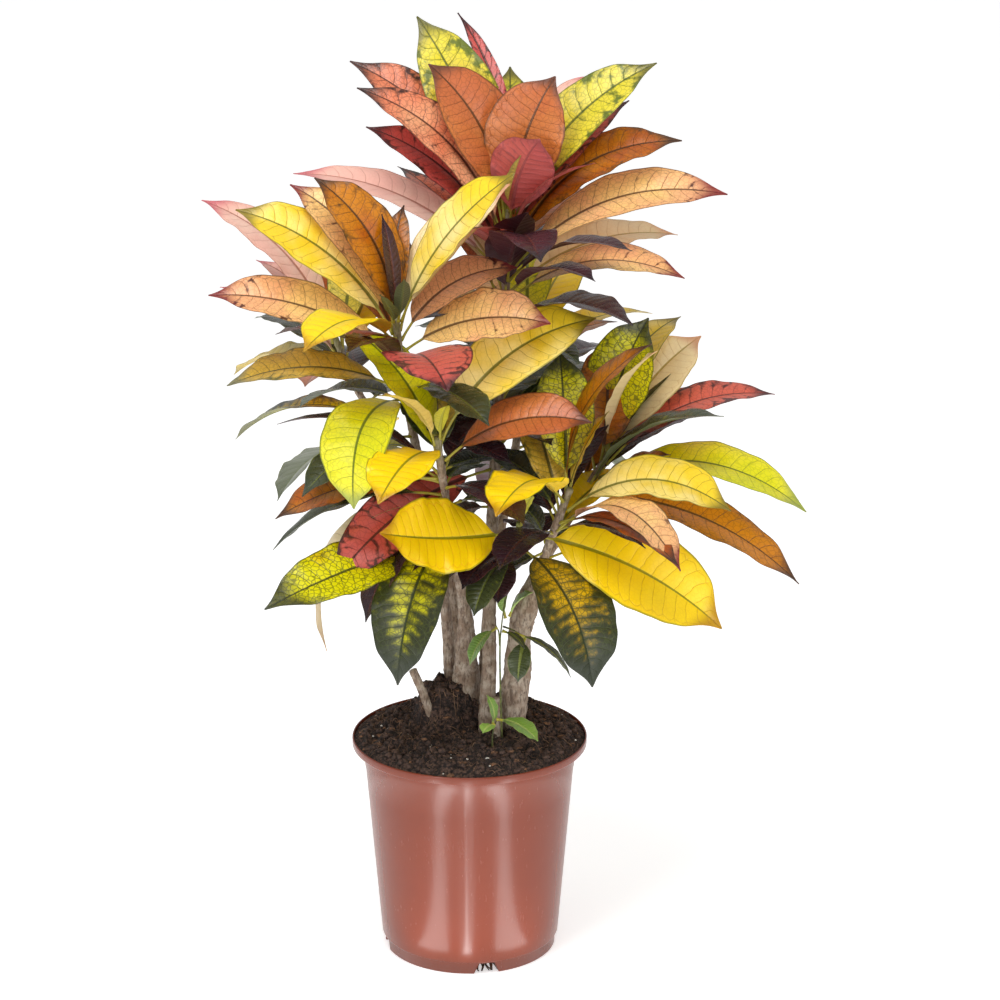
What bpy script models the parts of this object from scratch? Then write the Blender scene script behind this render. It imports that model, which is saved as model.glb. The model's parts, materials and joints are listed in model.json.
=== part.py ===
"""Potted croton: a nursery pot of potting mix with eight leafy stems.

Units are metres, +Z is up, and the pot stands on z = 0. Everything is laid out round the
pot's axis first. At the end the whole plant is moved so that the middle of its box is over
the origin, because the crown leans to one side of the pot.
"""
import math
from dataclasses import dataclass

import bmesh
import bpy
import numpy as np
from mathutils import Vector

# ---- driving dimensions ------------------------------------------------------------
GAP = 0.0003                 # clearance kept between pieces that touch

POT_HEIGHT = 0.228
RIM_RADIUS = 0.120
BODY_TOP_RADIUS = 0.1085
BODY_BOTTOM_RADIUS = 0.091
FOOT_RADIUS = 0.088
FOOT_HEIGHT = 0.0125
FOOT_WIDTH = 0.0045
WALL = 0.0018
LIP_HEIGHT = 0.009
STEP_DROP = 0.022            # faint step in the wall, below the lip
STEP_DEPTH = 0.0006
FLOOR_THICKNESS = 0.002
POT_SIDES = 64
NOTCH_COUNT = 4
NOTCH_TURN = math.radians(281.6)
NOTCH_WIDE = 0.026
NOTCH_NARROW = 0.016
DRAIN_COUNT = 8
DRAIN_RADIUS = 0.005
DRAIN_CIRCLE = 0.066

SOIL_EDGE_LEVEL = 0.2255
SOIL_CROWN = 0.017           # rise of the heaped mix over its edge
MOUND_PLACE = (-0.021, 0.004)
MOUND_HEIGHT = 0.041
MOUND_SPREAD = 0.030
LUMP_HEIGHT = 0.0016
SOIL_RINGS = 12

STEM_SIDES = 8
STEM_STEP = 0.028
ROOT_LEVEL = 0.195           # the stems' lower ends, inside the mix
PLANTED_POINTS = 5           # points of a stem's course that are in the mix

LEAF_STATIONS = (0.05, 0.13, 0.21, 0.33, 0.46, 0.60, 0.74, 0.87, 0.95)
PETIOLE_SHARE = 0.14
PETIOLE_WIDTH = 0.0030
LEAF_THICKNESS = 0.0011
FOLD = math.radians(11.0)
CLEARANCE = 0.0055           # space that leaves keep from each other as they spread
STEM_CLEARANCE = 0.012       # and from the middle of a stem
SPREAD_STEP = 0.0014         # how far a crowded leaf gives way in one round
EASE_ROUNDS = 140
FREE_SHARE = 0.3             # a leaf may be near a stem up to this share of its length


@dataclass(frozen=True)
class Stem:
    """A woody stem: its course from the root end to the growing point, and its radii."""

    course: tuple
    foot_radius: float
    tip_radius: float
    slot: str = "bark"


@dataclass(frozen=True)
class Leaf:
    """A leaf: how far down its stem it starts, and where its tip is from the growing point.

    bow is the rise of the midrib over the straight line from base to tip, as a share of
    that line. roll turns the blade about the line, in degrees, with the right-hand rule.
    """

    stem: str
    drop: float
    tip: tuple
    bow: float
    width: float
    roll: float
    slot: str


STEMS = {
    "middle": Stem(((0.014, -0.026, ROOT_LEVEL), (0.020, -0.020, 0.31), (0.021, -0.010, 0.40),
                    (0.028, 0.010, 0.55), (0.036, 0.020, 0.68), (0.040, 0.030, 0.77)),
                   0.0085, 0.0035),
    "left": Stem(((-0.021, 0.030, ROOT_LEVEL), (-0.021, 0.022, 0.30), (-0.026, 0.014, 0.37),
                  (-0.045, -0.010, 0.50), (-0.062, -0.035, 0.60), (-0.070, -0.050, 0.68)),
                 0.0064, 0.0035),
    "front_left": Stem(((-0.002, 0.008, ROOT_LEVEL), (-0.004, 0.000, 0.35),
                        (-0.015, -0.036, 0.45), (-0.025, -0.066, 0.52),
                        (-0.030, -0.085, 0.57)),
                       0.0088, 0.0035),
    "right": Stem(((0.040, -0.015, ROOT_LEVEL), (0.052, -0.022, 0.35),
                   (0.075, -0.035, 0.43), (0.100, -0.060, 0.51)),
                  0.0075, 0.0035),
    "upper_right": Stem(((0.036, 0.020, ROOT_LEVEL), (0.052, 0.010, 0.35),
                         (0.108, 0.010, 0.47), (0.145, 0.020, 0.53)),
                        0.0062, 0.0032),
    "young": Stem(((0.0256, -0.0180, 0.395), (0.031, -0.025, 0.400), (0.040, -0.040, 0.425),
                   (0.047, -0.053, 0.450), (0.050, -0.060, 0.475)),
                  0.0035, 0.0028, "young_stem"),
    "back_left": Stem(((-0.010, 0.062, ROOT_LEVEL), (-0.014, 0.062, 0.35),
                       (-0.060, 0.066, 0.48), (-0.112, 0.075, 0.57),
                       (-0.135, 0.080, 0.625)),
                      0.0068, 0.0032),
    "back_right": Stem(((0.013, 0.050, ROOT_LEVEL), (0.020, 0.066, 0.35),
                        (0.044, 0.105, 0.48), (0.060, 0.140, 0.60)),
                       0.0070, 0.0032),
}
STUBS = {
    "cut_stub": Stem(((0.031, -0.046, 0.205), (0.029, -0.043, 0.25), (0.026, -0.040, 0.283)),
                     0.0052, 0.0046),
    "leaning_stub": Stem(((-0.032, -0.016, 0.232), (-0.045, -0.018, 0.274),
                          (-0.057, -0.020, 0.305)),
                         0.0048, 0.0042),
}

LEAVES = {
    # growing point at the top of the plant
    "top_leaf_01": Leaf("middle", 0.004, (0.044, -0.008, 0.134), 0.08, 0.076, 80, "leaf_orange"),
    "top_leaf_02": Leaf("middle", 0.010, (-0.080, 0.010, 0.142), 0.10, 0.070, -45, "leaf_orange"),
    "top_leaf_03": Leaf("middle", 0.014, (0.030, -0.050, 0.082), 0.10, 0.060, -45, "leaf_rose"),
    "top_leaf_04": Leaf("middle", 0.024, (-0.090, 0.065, 0.180), 0.08, 0.066, -40, "leaf_lime"),
    "top_leaf_05": Leaf("middle", 0.018, (0.145, 0.030, 0.140), 0.12, 0.060, 35, "leaf_lime"),
    "top_leaf_06": Leaf("middle", 0.030, (-0.155, 0.045, 0.140), 0.14, 0.060, -30, "leaf_salmon"),
    "top_leaf_07": Leaf("middle", 0.034, (0.095, 0.090, 0.120), 0.12, 0.055, 20, "leaf_pink"),
    "top_leaf_08": Leaf("middle", 0.042, (-0.150, 0.000, 0.120), 0.14, 0.055, -35, "leaf_salmon"),
    "top_leaf_09": Leaf("middle", 0.046, (0.170, 0.020, 0.065), 0.18, 0.055, 30, "leaf_rust"),
    "top_leaf_10": Leaf("middle", 0.052, (-0.050, -0.085, 0.000), 0.14, 0.055, 0, "leaf_rose"),
    "top_leaf_11": Leaf("middle", 0.060, (0.215, 0.000, 0.015), 0.15, 0.058, 25, "leaf_peach"),
    "top_leaf_12": Leaf("middle", 0.064, (-0.215, 0.050, 0.025), 0.12, 0.052, -15, "leaf_pink"),
    "top_leaf_13": Leaf("middle", 0.070, (0.030, -0.135, -0.020), 0.26, 0.058, 0, "leaf_maroon"),
    "top_leaf_14": Leaf("middle", 0.080, (0.170, 0.060, -0.040), 0.12, 0.055, 15, "leaf_cream"),
    "top_leaf_15": Leaf("middle", 0.088, (0.172, -0.040, -0.060), 0.16, 0.055, 15, "leaf_peach"),
    "top_leaf_16": Leaf("middle", 0.096, (-0.030, 0.165, 0.010), 0.14, 0.060, 0, "leaf_green"),
    "top_leaf_17": Leaf("middle", 0.110, (0.120, -0.090, -0.095), 0.14, 0.060, 0, "leaf_maroon"),
    # left growing point
    "left_leaf_01": Leaf("left", 0.004, (0.115, -0.030, 0.150), 0.08, 0.058, 40, "leaf_yellow"),
    "left_leaf_02": Leaf("left", 0.010, (-0.078, 0.020, 0.135), 0.14, 0.056, -35, "leaf_rust"),
    "left_leaf_03": Leaf("left", 0.018, (-0.156, 0.035, 0.100), 0.12, 0.064, -30, "leaf_yellow"),
    "left_leaf_04": Leaf("left", 0.026, (-0.083, -0.120, 0.000), 0.18, 0.060, 0, "leaf_gold"),
    "left_leaf_05": Leaf("left", 0.034, (0.150, -0.020, 0.000), 0.12, 0.066, 30, "leaf_peach"),
    "left_leaf_06": Leaf("left", 0.040, (-0.182, 0.005, 0.022), 0.10, 0.060, -25, "leaf_peach"),
    "left_leaf_07": Leaf("left", 0.046, (0.052, -0.130, -0.036), 0.14, 0.080, 0, "leaf_rose"),
    "left_leaf_08": Leaf("left", 0.075, (-0.165, -0.010, -0.065), 0.12, 0.055, -15, "leaf_olive"),
    "left_leaf_09": Leaf("left", 0.085, (-0.040, -0.075, -0.170), 0.36, 0.070, 0, "leaf_lemon"),
    # front left growing point
    "front_leaf_01": Leaf("front_left", 0.006, (0.155, 0.065, 0.105), 0.14, 0.064, 40,
                          "leaf_yellow"),
    "front_leaf_02": Leaf("front_left", 0.016, (-0.053, -0.130, -0.026), 0.12, 0.060, 0,
                          "leaf_gold"),
    "front_leaf_03": Leaf("front_left", 0.028, (0.150, -0.010, 0.018), 0.14, 0.058, 25,
                          "leaf_orange"),
    "front_leaf_04": Leaf("front_left", 0.050, (-0.158, -0.010, -0.080), 0.09, 0.058, -15,
                          "leaf_rust"),
    "front_leaf_05": Leaf("front_left", 0.075, (-0.112, 0.030, -0.232), 0.28, 0.062, 0,
                          "leaf_cream"),
    "front_leaf_06": Leaf("front_left", 0.130, (-0.165, -0.085, -0.147), 0.04, 0.060, -30,
                          "leaf_speckled"),
    # right growing point
    "right_leaf_01": Leaf("right", 0.005, (-0.010, 0.055, 0.125), 0.08, 0.055, 0,
                          "leaf_speckled"),
    "right_leaf_02": Leaf("right", 0.014, (-0.073, -0.120, 0.010), 0.20, 0.066, 0, "leaf_gold"),
    "right_leaf_03": Leaf("right", 0.026, (0.158, -0.010, -0.020), 0.20, 0.062, 20, "leaf_yellow"),
    "right_leaf_04": Leaf("right", 0.045, (0.105, -0.090, -0.055), 0.28, 0.050, 0, "leaf_peach"),
    # upper right growing point
    "upper_leaf_01": Leaf("upper_right", 0.008, (0.033, -0.010, 0.135), 0.06, 0.066, 70,
                          "leaf_speckled"),
    "upper_leaf_02": Leaf("upper_right", 0.012, (0.090, 0.070, 0.095), 0.10, 0.064, 20,
                          "leaf_cream"),
    "upper_leaf_03": Leaf("upper_right", 0.036, (0.193, -0.025, -0.062), 0.16, 0.062, 15,
                          "leaf_lemon"),
    "upper_leaf_04": Leaf("upper_right", 0.020, (0.163, 0.030, 0.045), 0.14, 0.055, 10,
                          "leaf_rose"),
    "upper_leaf_05": Leaf("upper_right", 0.055, (0.185, -0.055, -0.128), 0.11, 0.056, 20,
                          "leaf_rust"),
    # low growing point of the young stem
    "low_leaf_01": Leaf("young", 0.010, (-0.135, -0.070, 0.012), -0.04, 0.078, -45, "leaf_gold"),
    "low_leaf_02": Leaf("young", 0.012, (0.200, -0.020, -0.105), 0.08, 0.086, 45, "leaf_gold"),
    "low_leaf_03": Leaf("young", 0.024, (0.072, -0.085, -0.140), 0.18, 0.080, 0, "leaf_speckled"),
    # back growing points
    "rear_leaf_01": Leaf("back_left", 0.004, (-0.135, 0.035, 0.135), 0.14, 0.056, -15,
                         "leaf_pink"),
    "rear_leaf_02": Leaf("back_left", 0.035, (-0.110, 0.080, -0.060), 0.14, 0.055, 0,
                         "leaf_yellow"),
    "rear_leaf_03": Leaf("back_right", 0.010, (0.050, 0.130, 0.060), 0.14, 0.060, 0, "leaf_gold"),
    "rear_leaf_04": Leaf("back_right", 0.035, (-0.100, 0.115, -0.020), 0.16, 0.060, 0,
                         "leaf_green"),
}

# slot: colour, roughness
FINISHES = {
    "pot_plastic": ((0.36, 0.095, 0.060), 0.38),
    "potting_mix": ((0.055, 0.032, 0.022), 0.95),
    "bark": ((0.23, 0.17, 0.12), 0.85),
    "young_stem": ((0.30, 0.33, 0.13), 0.60),
    "leaf_yellow": ((0.88, 0.66, 0.10), 0.30),
    "leaf_gold": ((0.82, 0.50, 0.07), 0.30),
    "leaf_lemon": ((0.75, 0.70, 0.04), 0.30),
    "leaf_lime": ((0.55, 0.52, 0.07), 0.32),
    "leaf_speckled": ((0.33, 0.36, 0.05), 0.32),
    "leaf_olive": ((0.38, 0.28, 0.09), 0.34),
    "leaf_cream": ((0.86, 0.70, 0.42), 0.32),
    "leaf_peach": ((0.82, 0.47, 0.22), 0.30),
    "leaf_salmon": ((0.72, 0.24, 0.15), 0.30),
    "leaf_orange": ((0.62, 0.22, 0.07), 0.30),
    "leaf_rust": ((0.40, 0.13, 0.05), 0.32),
    "leaf_rose": ((0.50, 0.10, 0.11), 0.30),
    "leaf_pink": ((0.78, 0.45, 0.36), 0.34),
    "leaf_maroon": ((0.055, 0.018, 0.025), 0.26),
    "leaf_green": ((0.035, 0.060, 0.022), 0.28),
}


# ---- scene helpers -----------------------------------------------------------------
def clear_scene():
    """Remove every object, so that the file holds only the plant."""
    for thing in list(bpy.data.objects):
        bpy.data.objects.remove(thing, do_unlink=True)


def finish(slot):
    """Return the slot's material, a plain Principled one, made at its first use."""
    if slot in bpy.data.materials:
        return bpy.data.materials[slot]
    colour, roughness = FINISHES[slot]
    material = bpy.data.materials.new(slot)
    material.use_nodes = True
    shader = material.node_tree.nodes["Principled BSDF"]
    shader.inputs["Base Color"].default_value = (*colour, 1.0)
    shader.inputs["Roughness"].default_value = roughness
    shader.inputs["Metallic"].default_value = 0.0
    return material


def add_body(name, verts, faces, slot, parent):
    """Make one closed body from points and faces, facing outwards, and place it."""
    mesh = bpy.data.meshes.new(name)
    mesh.from_pydata([tuple(point) for point in verts], [], faces)
    turner = bmesh.new()
    turner.from_mesh(mesh)
    bmesh.ops.recalc_face_normals(turner, faces=turner.faces)
    turner.to_mesh(mesh)
    turner.free()
    mesh.shade_smooth()
    mesh.set_sharp_from_angle(angle=math.radians(40.0))
    mesh.materials.append(finish(slot))
    body = bpy.data.objects.new(name, mesh)
    body.parent = parent
    bpy.context.collection.objects.link(body)
    return body


def cut(body, cutter):
    """Subtract a cutter, which stays in the file as a hidden wire guide."""
    cutter.hide_render = True
    cutter.display_type = "WIRE"
    modifier = body.modifiers.new(cutter.name, "BOOLEAN")
    modifier.operation = "DIFFERENCE"
    modifier.solver = "EXACT"
    modifier.object = cutter


def join_parts(parts):
    """Put several (verts, faces) pairs into one list of points and one of faces."""
    verts, faces = [], []
    for some_verts, some_faces in parts:
        first = len(verts)
        verts.extend(some_verts)
        faces.extend([tuple(first + corner for corner in face) for face in some_faces])
    return verts, faces


def turned(profile, sides):
    """Turn a profile of (radius, height) points, with both ends on the axis, round Z."""
    turns = [2.0 * math.pi * side / sides for side in range(sides)]
    verts = [(0.0, 0.0, profile[0][1]), (0.0, 0.0, profile[-1][1])]
    faces = []
    for radius, height in profile[1:-1]:
        verts.extend((radius * math.cos(turn), radius * math.sin(turn), height)
                     for turn in turns)
    rings = len(profile) - 2
    for side in range(sides):
        after = (side + 1) % sides
        faces.append((0, 2 + after, 2 + side))
        last = 2 + (rings - 1) * sides
        faces.append((1, last + side, last + after))
        for ring in range(rings - 1):
            low = 2 + ring * sides
            faces.append((low + side, low + after, low + sides + after, low + sides + side))
    return verts, faces


# ---- pot and potting mix -----------------------------------------------------------
def wall_radius(height):
    """Outer radius of the pot's tapered wall at a height."""
    share = (height - FOOT_HEIGHT) / (POT_HEIGHT - LIP_HEIGHT - FOOT_HEIGHT)
    return BODY_BOTTOM_RADIUS + share * (BODY_TOP_RADIUS - BODY_BOTTOM_RADIUS)


def pot_profile():
    """The pot's section: floor, foot ring, tapered wall with a step, and a collar."""
    lip_under = POT_HEIGHT - LIP_HEIGHT
    step_level = lip_under - STEP_DROP
    return [
        (0.0, FOOT_HEIGHT),
        (FOOT_RADIUS - FOOT_WIDTH, FOOT_HEIGHT),
        (FOOT_RADIUS - FOOT_WIDTH, 0.0),
        (FOOT_RADIUS, 0.0),
        (FOOT_RADIUS, FOOT_HEIGHT),
        (BODY_BOTTOM_RADIUS, FOOT_HEIGHT + 0.001),
        (wall_radius(step_level), step_level),
        (wall_radius(step_level) + STEP_DEPTH, step_level + 0.001),
        (BODY_TOP_RADIUS + STEP_DEPTH, lip_under),
        (RIM_RADIUS - 0.0005, lip_under),
        (RIM_RADIUS, lip_under + 0.0005),
        (RIM_RADIUS, POT_HEIGHT - 0.0006),
        (RIM_RADIUS - 0.0006, POT_HEIGHT),
        (RIM_RADIUS - WALL, POT_HEIGHT),
        (RIM_RADIUS - WALL, lip_under + WALL),
        (BODY_TOP_RADIUS - WALL, lip_under + WALL),
        (BODY_BOTTOM_RADIUS - WALL, FOOT_HEIGHT + FLOOR_THICKNESS),
        (0.0, FOOT_HEIGHT + FLOOR_THICKNESS),
    ]


def notch_cutters():
    """Four wedges, wider at the floor, that cut through the foot ring."""
    inner, outer = FOOT_RADIUS - 2.0 * FOOT_WIDTH, FOOT_RADIUS + FOOT_WIDTH
    below, above = -0.004, FOOT_HEIGHT - 0.0006
    parts = []
    for number in range(NOTCH_COUNT):
        turn = NOTCH_TURN + 2.0 * math.pi * number / NOTCH_COUNT
        out = Vector((math.cos(turn), math.sin(turn), 0.0))
        across = Vector((-math.sin(turn), math.cos(turn), 0.0))
        verts = []
        for radius in (inner, outer):
            for width, level in ((NOTCH_WIDE, below), (NOTCH_NARROW, above)):
                for sign in (-0.5, 0.5):
                    verts.append(out * radius + across * width * sign + Vector((0, 0, level)))
        faces = [(0, 1, 3, 2), (4, 6, 7, 5), (0, 4, 5, 1), (2, 3, 7, 6), (0, 2, 6, 4),
                 (1, 5, 7, 3)]
        parts.append((verts, faces))
    return join_parts(parts)


def drain_cutters():
    """A circle of round holes through the pot's floor."""
    parts = []
    for number in range(DRAIN_COUNT):
        turn = math.radians(22.5) + 2.0 * math.pi * number / DRAIN_COUNT
        place = np.array([DRAIN_CIRCLE * math.cos(turn), DRAIN_CIRCLE * math.sin(turn), 0.0])
        verts, faces = turned([(0.0, FOOT_HEIGHT - 0.004), (DRAIN_RADIUS, FOOT_HEIGHT - 0.004),
                               (DRAIN_RADIUS, FOOT_HEIGHT + 0.006),
                               (0.0, FOOT_HEIGHT + 0.006)], 12)
        parts.append(([tuple(np.array(point) + place) for point in verts], faces))
    return join_parts(parts)


def soil_level(x, y):
    """Height of the mix: heaped flat over the rim, with a mound of roots at the stems.

    Both rise as 1 - (r/R)^4 or exp(-(r/spread)^4), steep at the side and flat on top.
    """
    share = math.hypot(x, y) / (RIM_RADIUS - WALL)
    heap = SOIL_CROWN * (1.0 - share ** 4)
    away = math.hypot(x - MOUND_PLACE[0], y - MOUND_PLACE[1])
    mound = MOUND_HEIGHT * math.exp(-(away / MOUND_SPREAD) ** 4)
    lumps = LUMP_HEIGHT * math.sin(95.0 * x + 1.0) * math.cos(80.0 * y + 0.4)
    return SOIL_EDGE_LEVEL + heap + mound + lumps * max(0.0, min(1.0, 4.0 * (1.0 - share)))


def build_pot(parent):
    """The pot with its foot notches and drain holes."""
    pot = add_body("pot", *turned(pot_profile(), POT_SIDES), "pot_plastic", parent)
    cut(pot, add_body("notch_guide", *notch_cutters(), "pot_plastic", parent))
    cut(pot, add_body("drain_guide", *drain_cutters(), "pot_plastic", parent))


def build_soil(parent, sockets):
    """The potting mix that fills the pot, with a socket where each stem is planted."""
    bottom = FOOT_HEIGHT + FLOOR_THICKNESS + GAP
    shelf = POT_HEIGHT - LIP_HEIGHT + WALL + GAP
    inner = BODY_TOP_RADIUS - WALL - 2.0 * GAP
    edge = RIM_RADIUS - WALL - 2.0 * GAP
    profile = [(0.0, bottom), (wall_radius(bottom) - WALL - 0.001, bottom),
               (inner, shelf - 2.0 * GAP), (inner, shelf), (edge, shelf)]
    profile += [(edge * ring / SOIL_RINGS, SOIL_EDGE_LEVEL) for ring in range(SOIL_RINGS, 0, -1)]
    profile.append((0.0, SOIL_EDGE_LEVEL))
    verts, faces = turned(profile, POT_SIDES)
    level = [(x, y, soil_level(x, y) if z == SOIL_EDGE_LEVEL else z) for x, y, z in verts]
    soil = add_body("potting_mix", level, faces, "potting_mix", parent)
    cut(soil, add_body("socket_guide", *join_parts(sockets), "potting_mix", parent))


# ---- stems -------------------------------------------------------------------------
def smooth_course(points, step):
    """Points about a step apart on a smooth curve (Catmull-Rom) through a course."""
    knots = np.array(points)
    knots = np.vstack([2 * knots[0] - knots[1], knots, 2 * knots[-1] - knots[-2]])
    course = []
    for before, start, end, after in zip(knots, knots[1:], knots[2:], knots[3:]):
        count = max(1, round(np.linalg.norm(end - start) / step))
        for share in np.arange(count) / count:
            course.append(0.5 * (2 * start + (end - before) * share
                                 + (2 * before - 5 * start + 4 * end - after) * share ** 2
                                 + (3 * start - before - 3 * end + after) * share ** 3))
    course.append(knots[-2])
    return np.array(course)


def stem_radii(stem, course):
    """The stem's radius at each point of its course, thinning towards the tip."""
    runs = np.append(0.0, np.cumsum(np.linalg.norm(np.diff(course, axis=0), axis=1)))
    return stem.foot_radius + (stem.tip_radius - stem.foot_radius) * runs / runs[-1]


def tube(course, radii):
    """A closed tube of flat sides round a course."""
    ahead = np.gradient(course, axis=0)
    ahead /= np.linalg.norm(ahead, axis=1)[:, None]
    across = np.cross(ahead, (0.0, 1.0, 0.0))
    across /= np.linalg.norm(across, axis=1)[:, None]
    other = np.cross(ahead, across)
    verts, faces = [], []
    for point, u, v, radius in zip(course, across, other, radii):
        for side in range(STEM_SIDES):
            turn = 2.0 * math.pi * side / STEM_SIDES
            verts.append(tuple(point + radius * (u * math.cos(turn) + v * math.sin(turn))))
    for ring in range(len(course) - 1):
        low = ring * STEM_SIDES
        for side in range(STEM_SIDES):
            after = (side + 1) % STEM_SIDES
            faces.append((low + side, low + after, low + STEM_SIDES + after,
                          low + STEM_SIDES + side))
    faces.append(tuple(range(STEM_SIDES)))
    faces.append(tuple(len(verts) - 1 - side for side in range(STEM_SIDES)))
    return verts, faces


def build_stems(parent):
    """Every stem and stub. Returns the sockets that they need in the potting mix."""
    sockets = []
    named = {f"{name}_stem": stem for name, stem in STEMS.items()} | STUBS
    for name, stem in named.items():
        course = smooth_course(stem.course, STEM_STEP)
        radii = stem_radii(stem, course)
        add_body(name, *tube(course, radii), stem.slot, parent)
        if course[0][2] < SOIL_EDGE_LEVEL + SOIL_CROWN:
            planted = course[:PLANTED_POINTS].copy()
            planted[0] -= (course[1] - course[0]) * 0.05
            sockets.append(tube(planted, radii[:PLANTED_POINTS] + 1.5 * GAP))
    return sockets


# ---- leaves ------------------------------------------------------------------------
def unit(vector):
    """The vector scaled to length 1."""
    return vector / np.linalg.norm(vector, axis=-1, keepdims=True)


class LeafShape:
    """A leaf's midrib, a curve with a base, a knee and a tip, and the blade along it."""

    def __init__(self, leaf):
        stem = STEMS[leaf.stem]
        course = smooth_course(stem.course, 0.002)
        radii = stem_radii(stem, course)
        left = np.linalg.norm(np.diff(course, axis=0), axis=1)[::-1].cumsum()[::-1]
        place = int(np.argmin(abs(left - leaf.drop)))
        along = unit(course[place + 1] - course[place])
        self.tip = course[-1] + np.array(leaf.tip)
        out = self.tip - course[place]
        out = unit(out - np.dot(out, along) * along)
        self.base = course[place] + out * (radii[place] / math.cos(math.pi / STEM_SIDES)
                                           + 2.0 * GAP)
        self.roll = math.radians(leaf.roll)
        self.width = leaf.width
        self.slot = leaf.slot
        line = self.tip - self.base
        self.knee = ((self.base + self.tip) / 2.0
                     + self.upward() * 2.0 * leaf.bow * np.linalg.norm(line))

    def upward(self):
        """The direction square to the leaf's straight line that points most upwards."""
        line = unit(self.tip - self.base)
        return unit(np.array([0.0, 0.0, 1.0]) - line[2] * line)

    def midrib(self, share):
        """Points on the midrib, where share runs from 0 at the base to 1 at the tip."""
        s = np.asarray(share)[:, None]
        return (1 - s) ** 2 * self.base + 2 * s * (1 - s) * self.knee + s ** 2 * self.tip

    def directions(self, share):
        """The blade's upward normal and its left-hand direction at shares of its length."""
        s = np.asarray(share)[:, None]
        ahead = unit((1 - s) * (self.knee - self.base) + s * (self.tip - self.knee))
        line = unit(self.tip - self.base)
        up = self.upward()
        face = up * math.cos(self.roll) + np.cross(line, up) * math.sin(self.roll)
        face = unit(face - (ahead @ face)[:, None] * ahead)
        return face, np.cross(face, ahead)

    def half_widths(self, share):
        """Half the blade's width: a thin stalk, a broad middle and a long fine point."""
        s = np.asarray(share)
        blade = np.clip((s - PETIOLE_SHARE) / (1.0 - PETIOLE_SHARE), 0.0, 1.0)
        swell = np.sin(math.pi * blade ** 1.05) ** 0.75
        return 0.5 * (PETIOLE_WIDTH + (self.width - PETIOLE_WIDTH) * swell)

    def surface(self, share, across):
        """Points on the folded blade: across runs from -1 at one edge to 1 at the other."""
        face, left = self.directions(share)
        half = (self.half_widths(share) * across)[:, None]
        return (self.midrib(share) + left * half * math.cos(FOLD)
                + face * abs(half) * math.sin(FOLD))


def blade_samples(shape):
    """A spread of points over one blade, their shares of its length, and their normals."""
    rows, columns = np.meshgrid(np.linspace(0.18, 1.0, 12), (-1.0, -0.5, 0.0, 0.5, 1.0))
    share, across = rows.ravel(), columns.ravel()
    return shape.surface(share, across), share, shape.directions(share)[0]


def nudge(shape, share, shift):
    """Bend a leaf sideways, most at its tip when the touch is near the tip."""
    shape.tip = shape.tip + shift * share ** 1.5
    shape.knee = shape.knee + shift * 2.0 * share * (1.0 - share)


def ease_apart(shapes, stem_points):
    """Spread crowded leaves until each has its own space, as they grow on the plant."""
    for _ in range(EASE_ROUNDS):
        spread = [blade_samples(shape) for shape in shapes]
        lows = [points.min(axis=0) - CLEARANCE for points, _, _ in spread]
        highs = [points.max(axis=0) + CLEARANCE for points, _, _ in spread]
        for one in range(len(shapes)):
            points, share, face = spread[one]
            for other in range(one + 1, len(shapes)):
                if (lows[one] > highs[other]).any() or (lows[other] > highs[one]).any():
                    continue
                other_points, other_share, other_face = spread[other]
                gaps = points[:, None] - other_points[None]
                near = np.linalg.norm(gaps, axis=2) < CLEARANCE
                if not near.any():
                    continue
                rows, columns = np.nonzero(near)
                way = face[rows].mean(axis=0)
                opposite = other_face[columns].mean(axis=0)
                way = unit(way + opposite * (1.0 if way @ opposite > 0.0 else -1.0))
                side = 1.0 if (gaps[near] @ way).sum() > 0.0 else -1.0
                shift = SPREAD_STEP * side * way
                nudge(shapes[one], share[rows].mean(), shift)
                nudge(shapes[other], other_share[columns].mean(), -shift)
            gaps = points[:, None] - stem_points[None]
            near = np.linalg.norm(gaps, axis=2) < STEM_CLEARANCE
            near[share < FREE_SHARE] = False
            if near.any():
                rows = np.nonzero(near)[0]
                nudge(shapes[one], share[rows].mean(),
                      SPREAD_STEP * unit(gaps[near].mean(axis=0)))


def leaf_body(shape):
    """The closed blade: rings of edge, crease, edge and keel between two end points."""
    stations = np.array(LEAF_STATIONS)
    face, left = shape.directions(stations)
    middle = shape.midrib(stations)
    half = shape.half_widths(stations)[:, None]
    thick = np.where(stations < PETIOLE_SHARE, 2.0 * LEAF_THICKNESS, LEAF_THICKNESS)[:, None]
    lift = face * half * math.sin(FOLD)
    rings = np.stack([middle + left * half * math.cos(FOLD) + lift, middle,
                      middle - left * half * math.cos(FOLD) + lift, middle - face * thick],
                     axis=1)
    verts = [tuple(shape.midrib((0.0,))[0])]
    verts += [tuple(point) for point in rings.reshape(-1, 3)]
    verts.append(tuple(shape.tip))
    faces = []
    last = len(verts) - 1
    for corner in range(4):
        after = (corner + 1) % 4
        faces.append((0, 1 + after, 1 + corner))
        faces.append((last, last - 4 + corner, last - 4 + after))
        for ring in range(len(stations) - 1):
            low = 1 + 4 * ring
            faces.append((low + corner, low + after, low + 4 + after, low + 4 + corner))
    return verts, faces


def build_leaves(parent):
    """Every leaf, spread so that none runs through another."""
    shapes = {name: LeafShape(leaf) for name, leaf in LEAVES.items()}
    stem_points = np.vstack([smooth_course(stem.course, 0.008) for stem in STEMS.values()])
    ease_apart(list(shapes.values()), stem_points)
    for name, shape in shapes.items():
        add_body(name, *leaf_body(shape), shape.slot, parent)


def centre_plant(plant):
    """Move the plant so that the middle of its box stands over the origin."""
    bpy.context.view_layer.update()
    bodies = [thing for thing in bpy.data.objects if thing.type == "MESH"
              and not thing.hide_render]
    points = np.vstack([[tuple(vertex.co) for vertex in body.data.vertices]
                        for body in bodies])
    middle = (points.min(axis=0) + points.max(axis=0)) / 2.0
    plant.location = (-middle[0], -middle[1], 0.0)
    bpy.context.view_layer.update()


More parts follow.
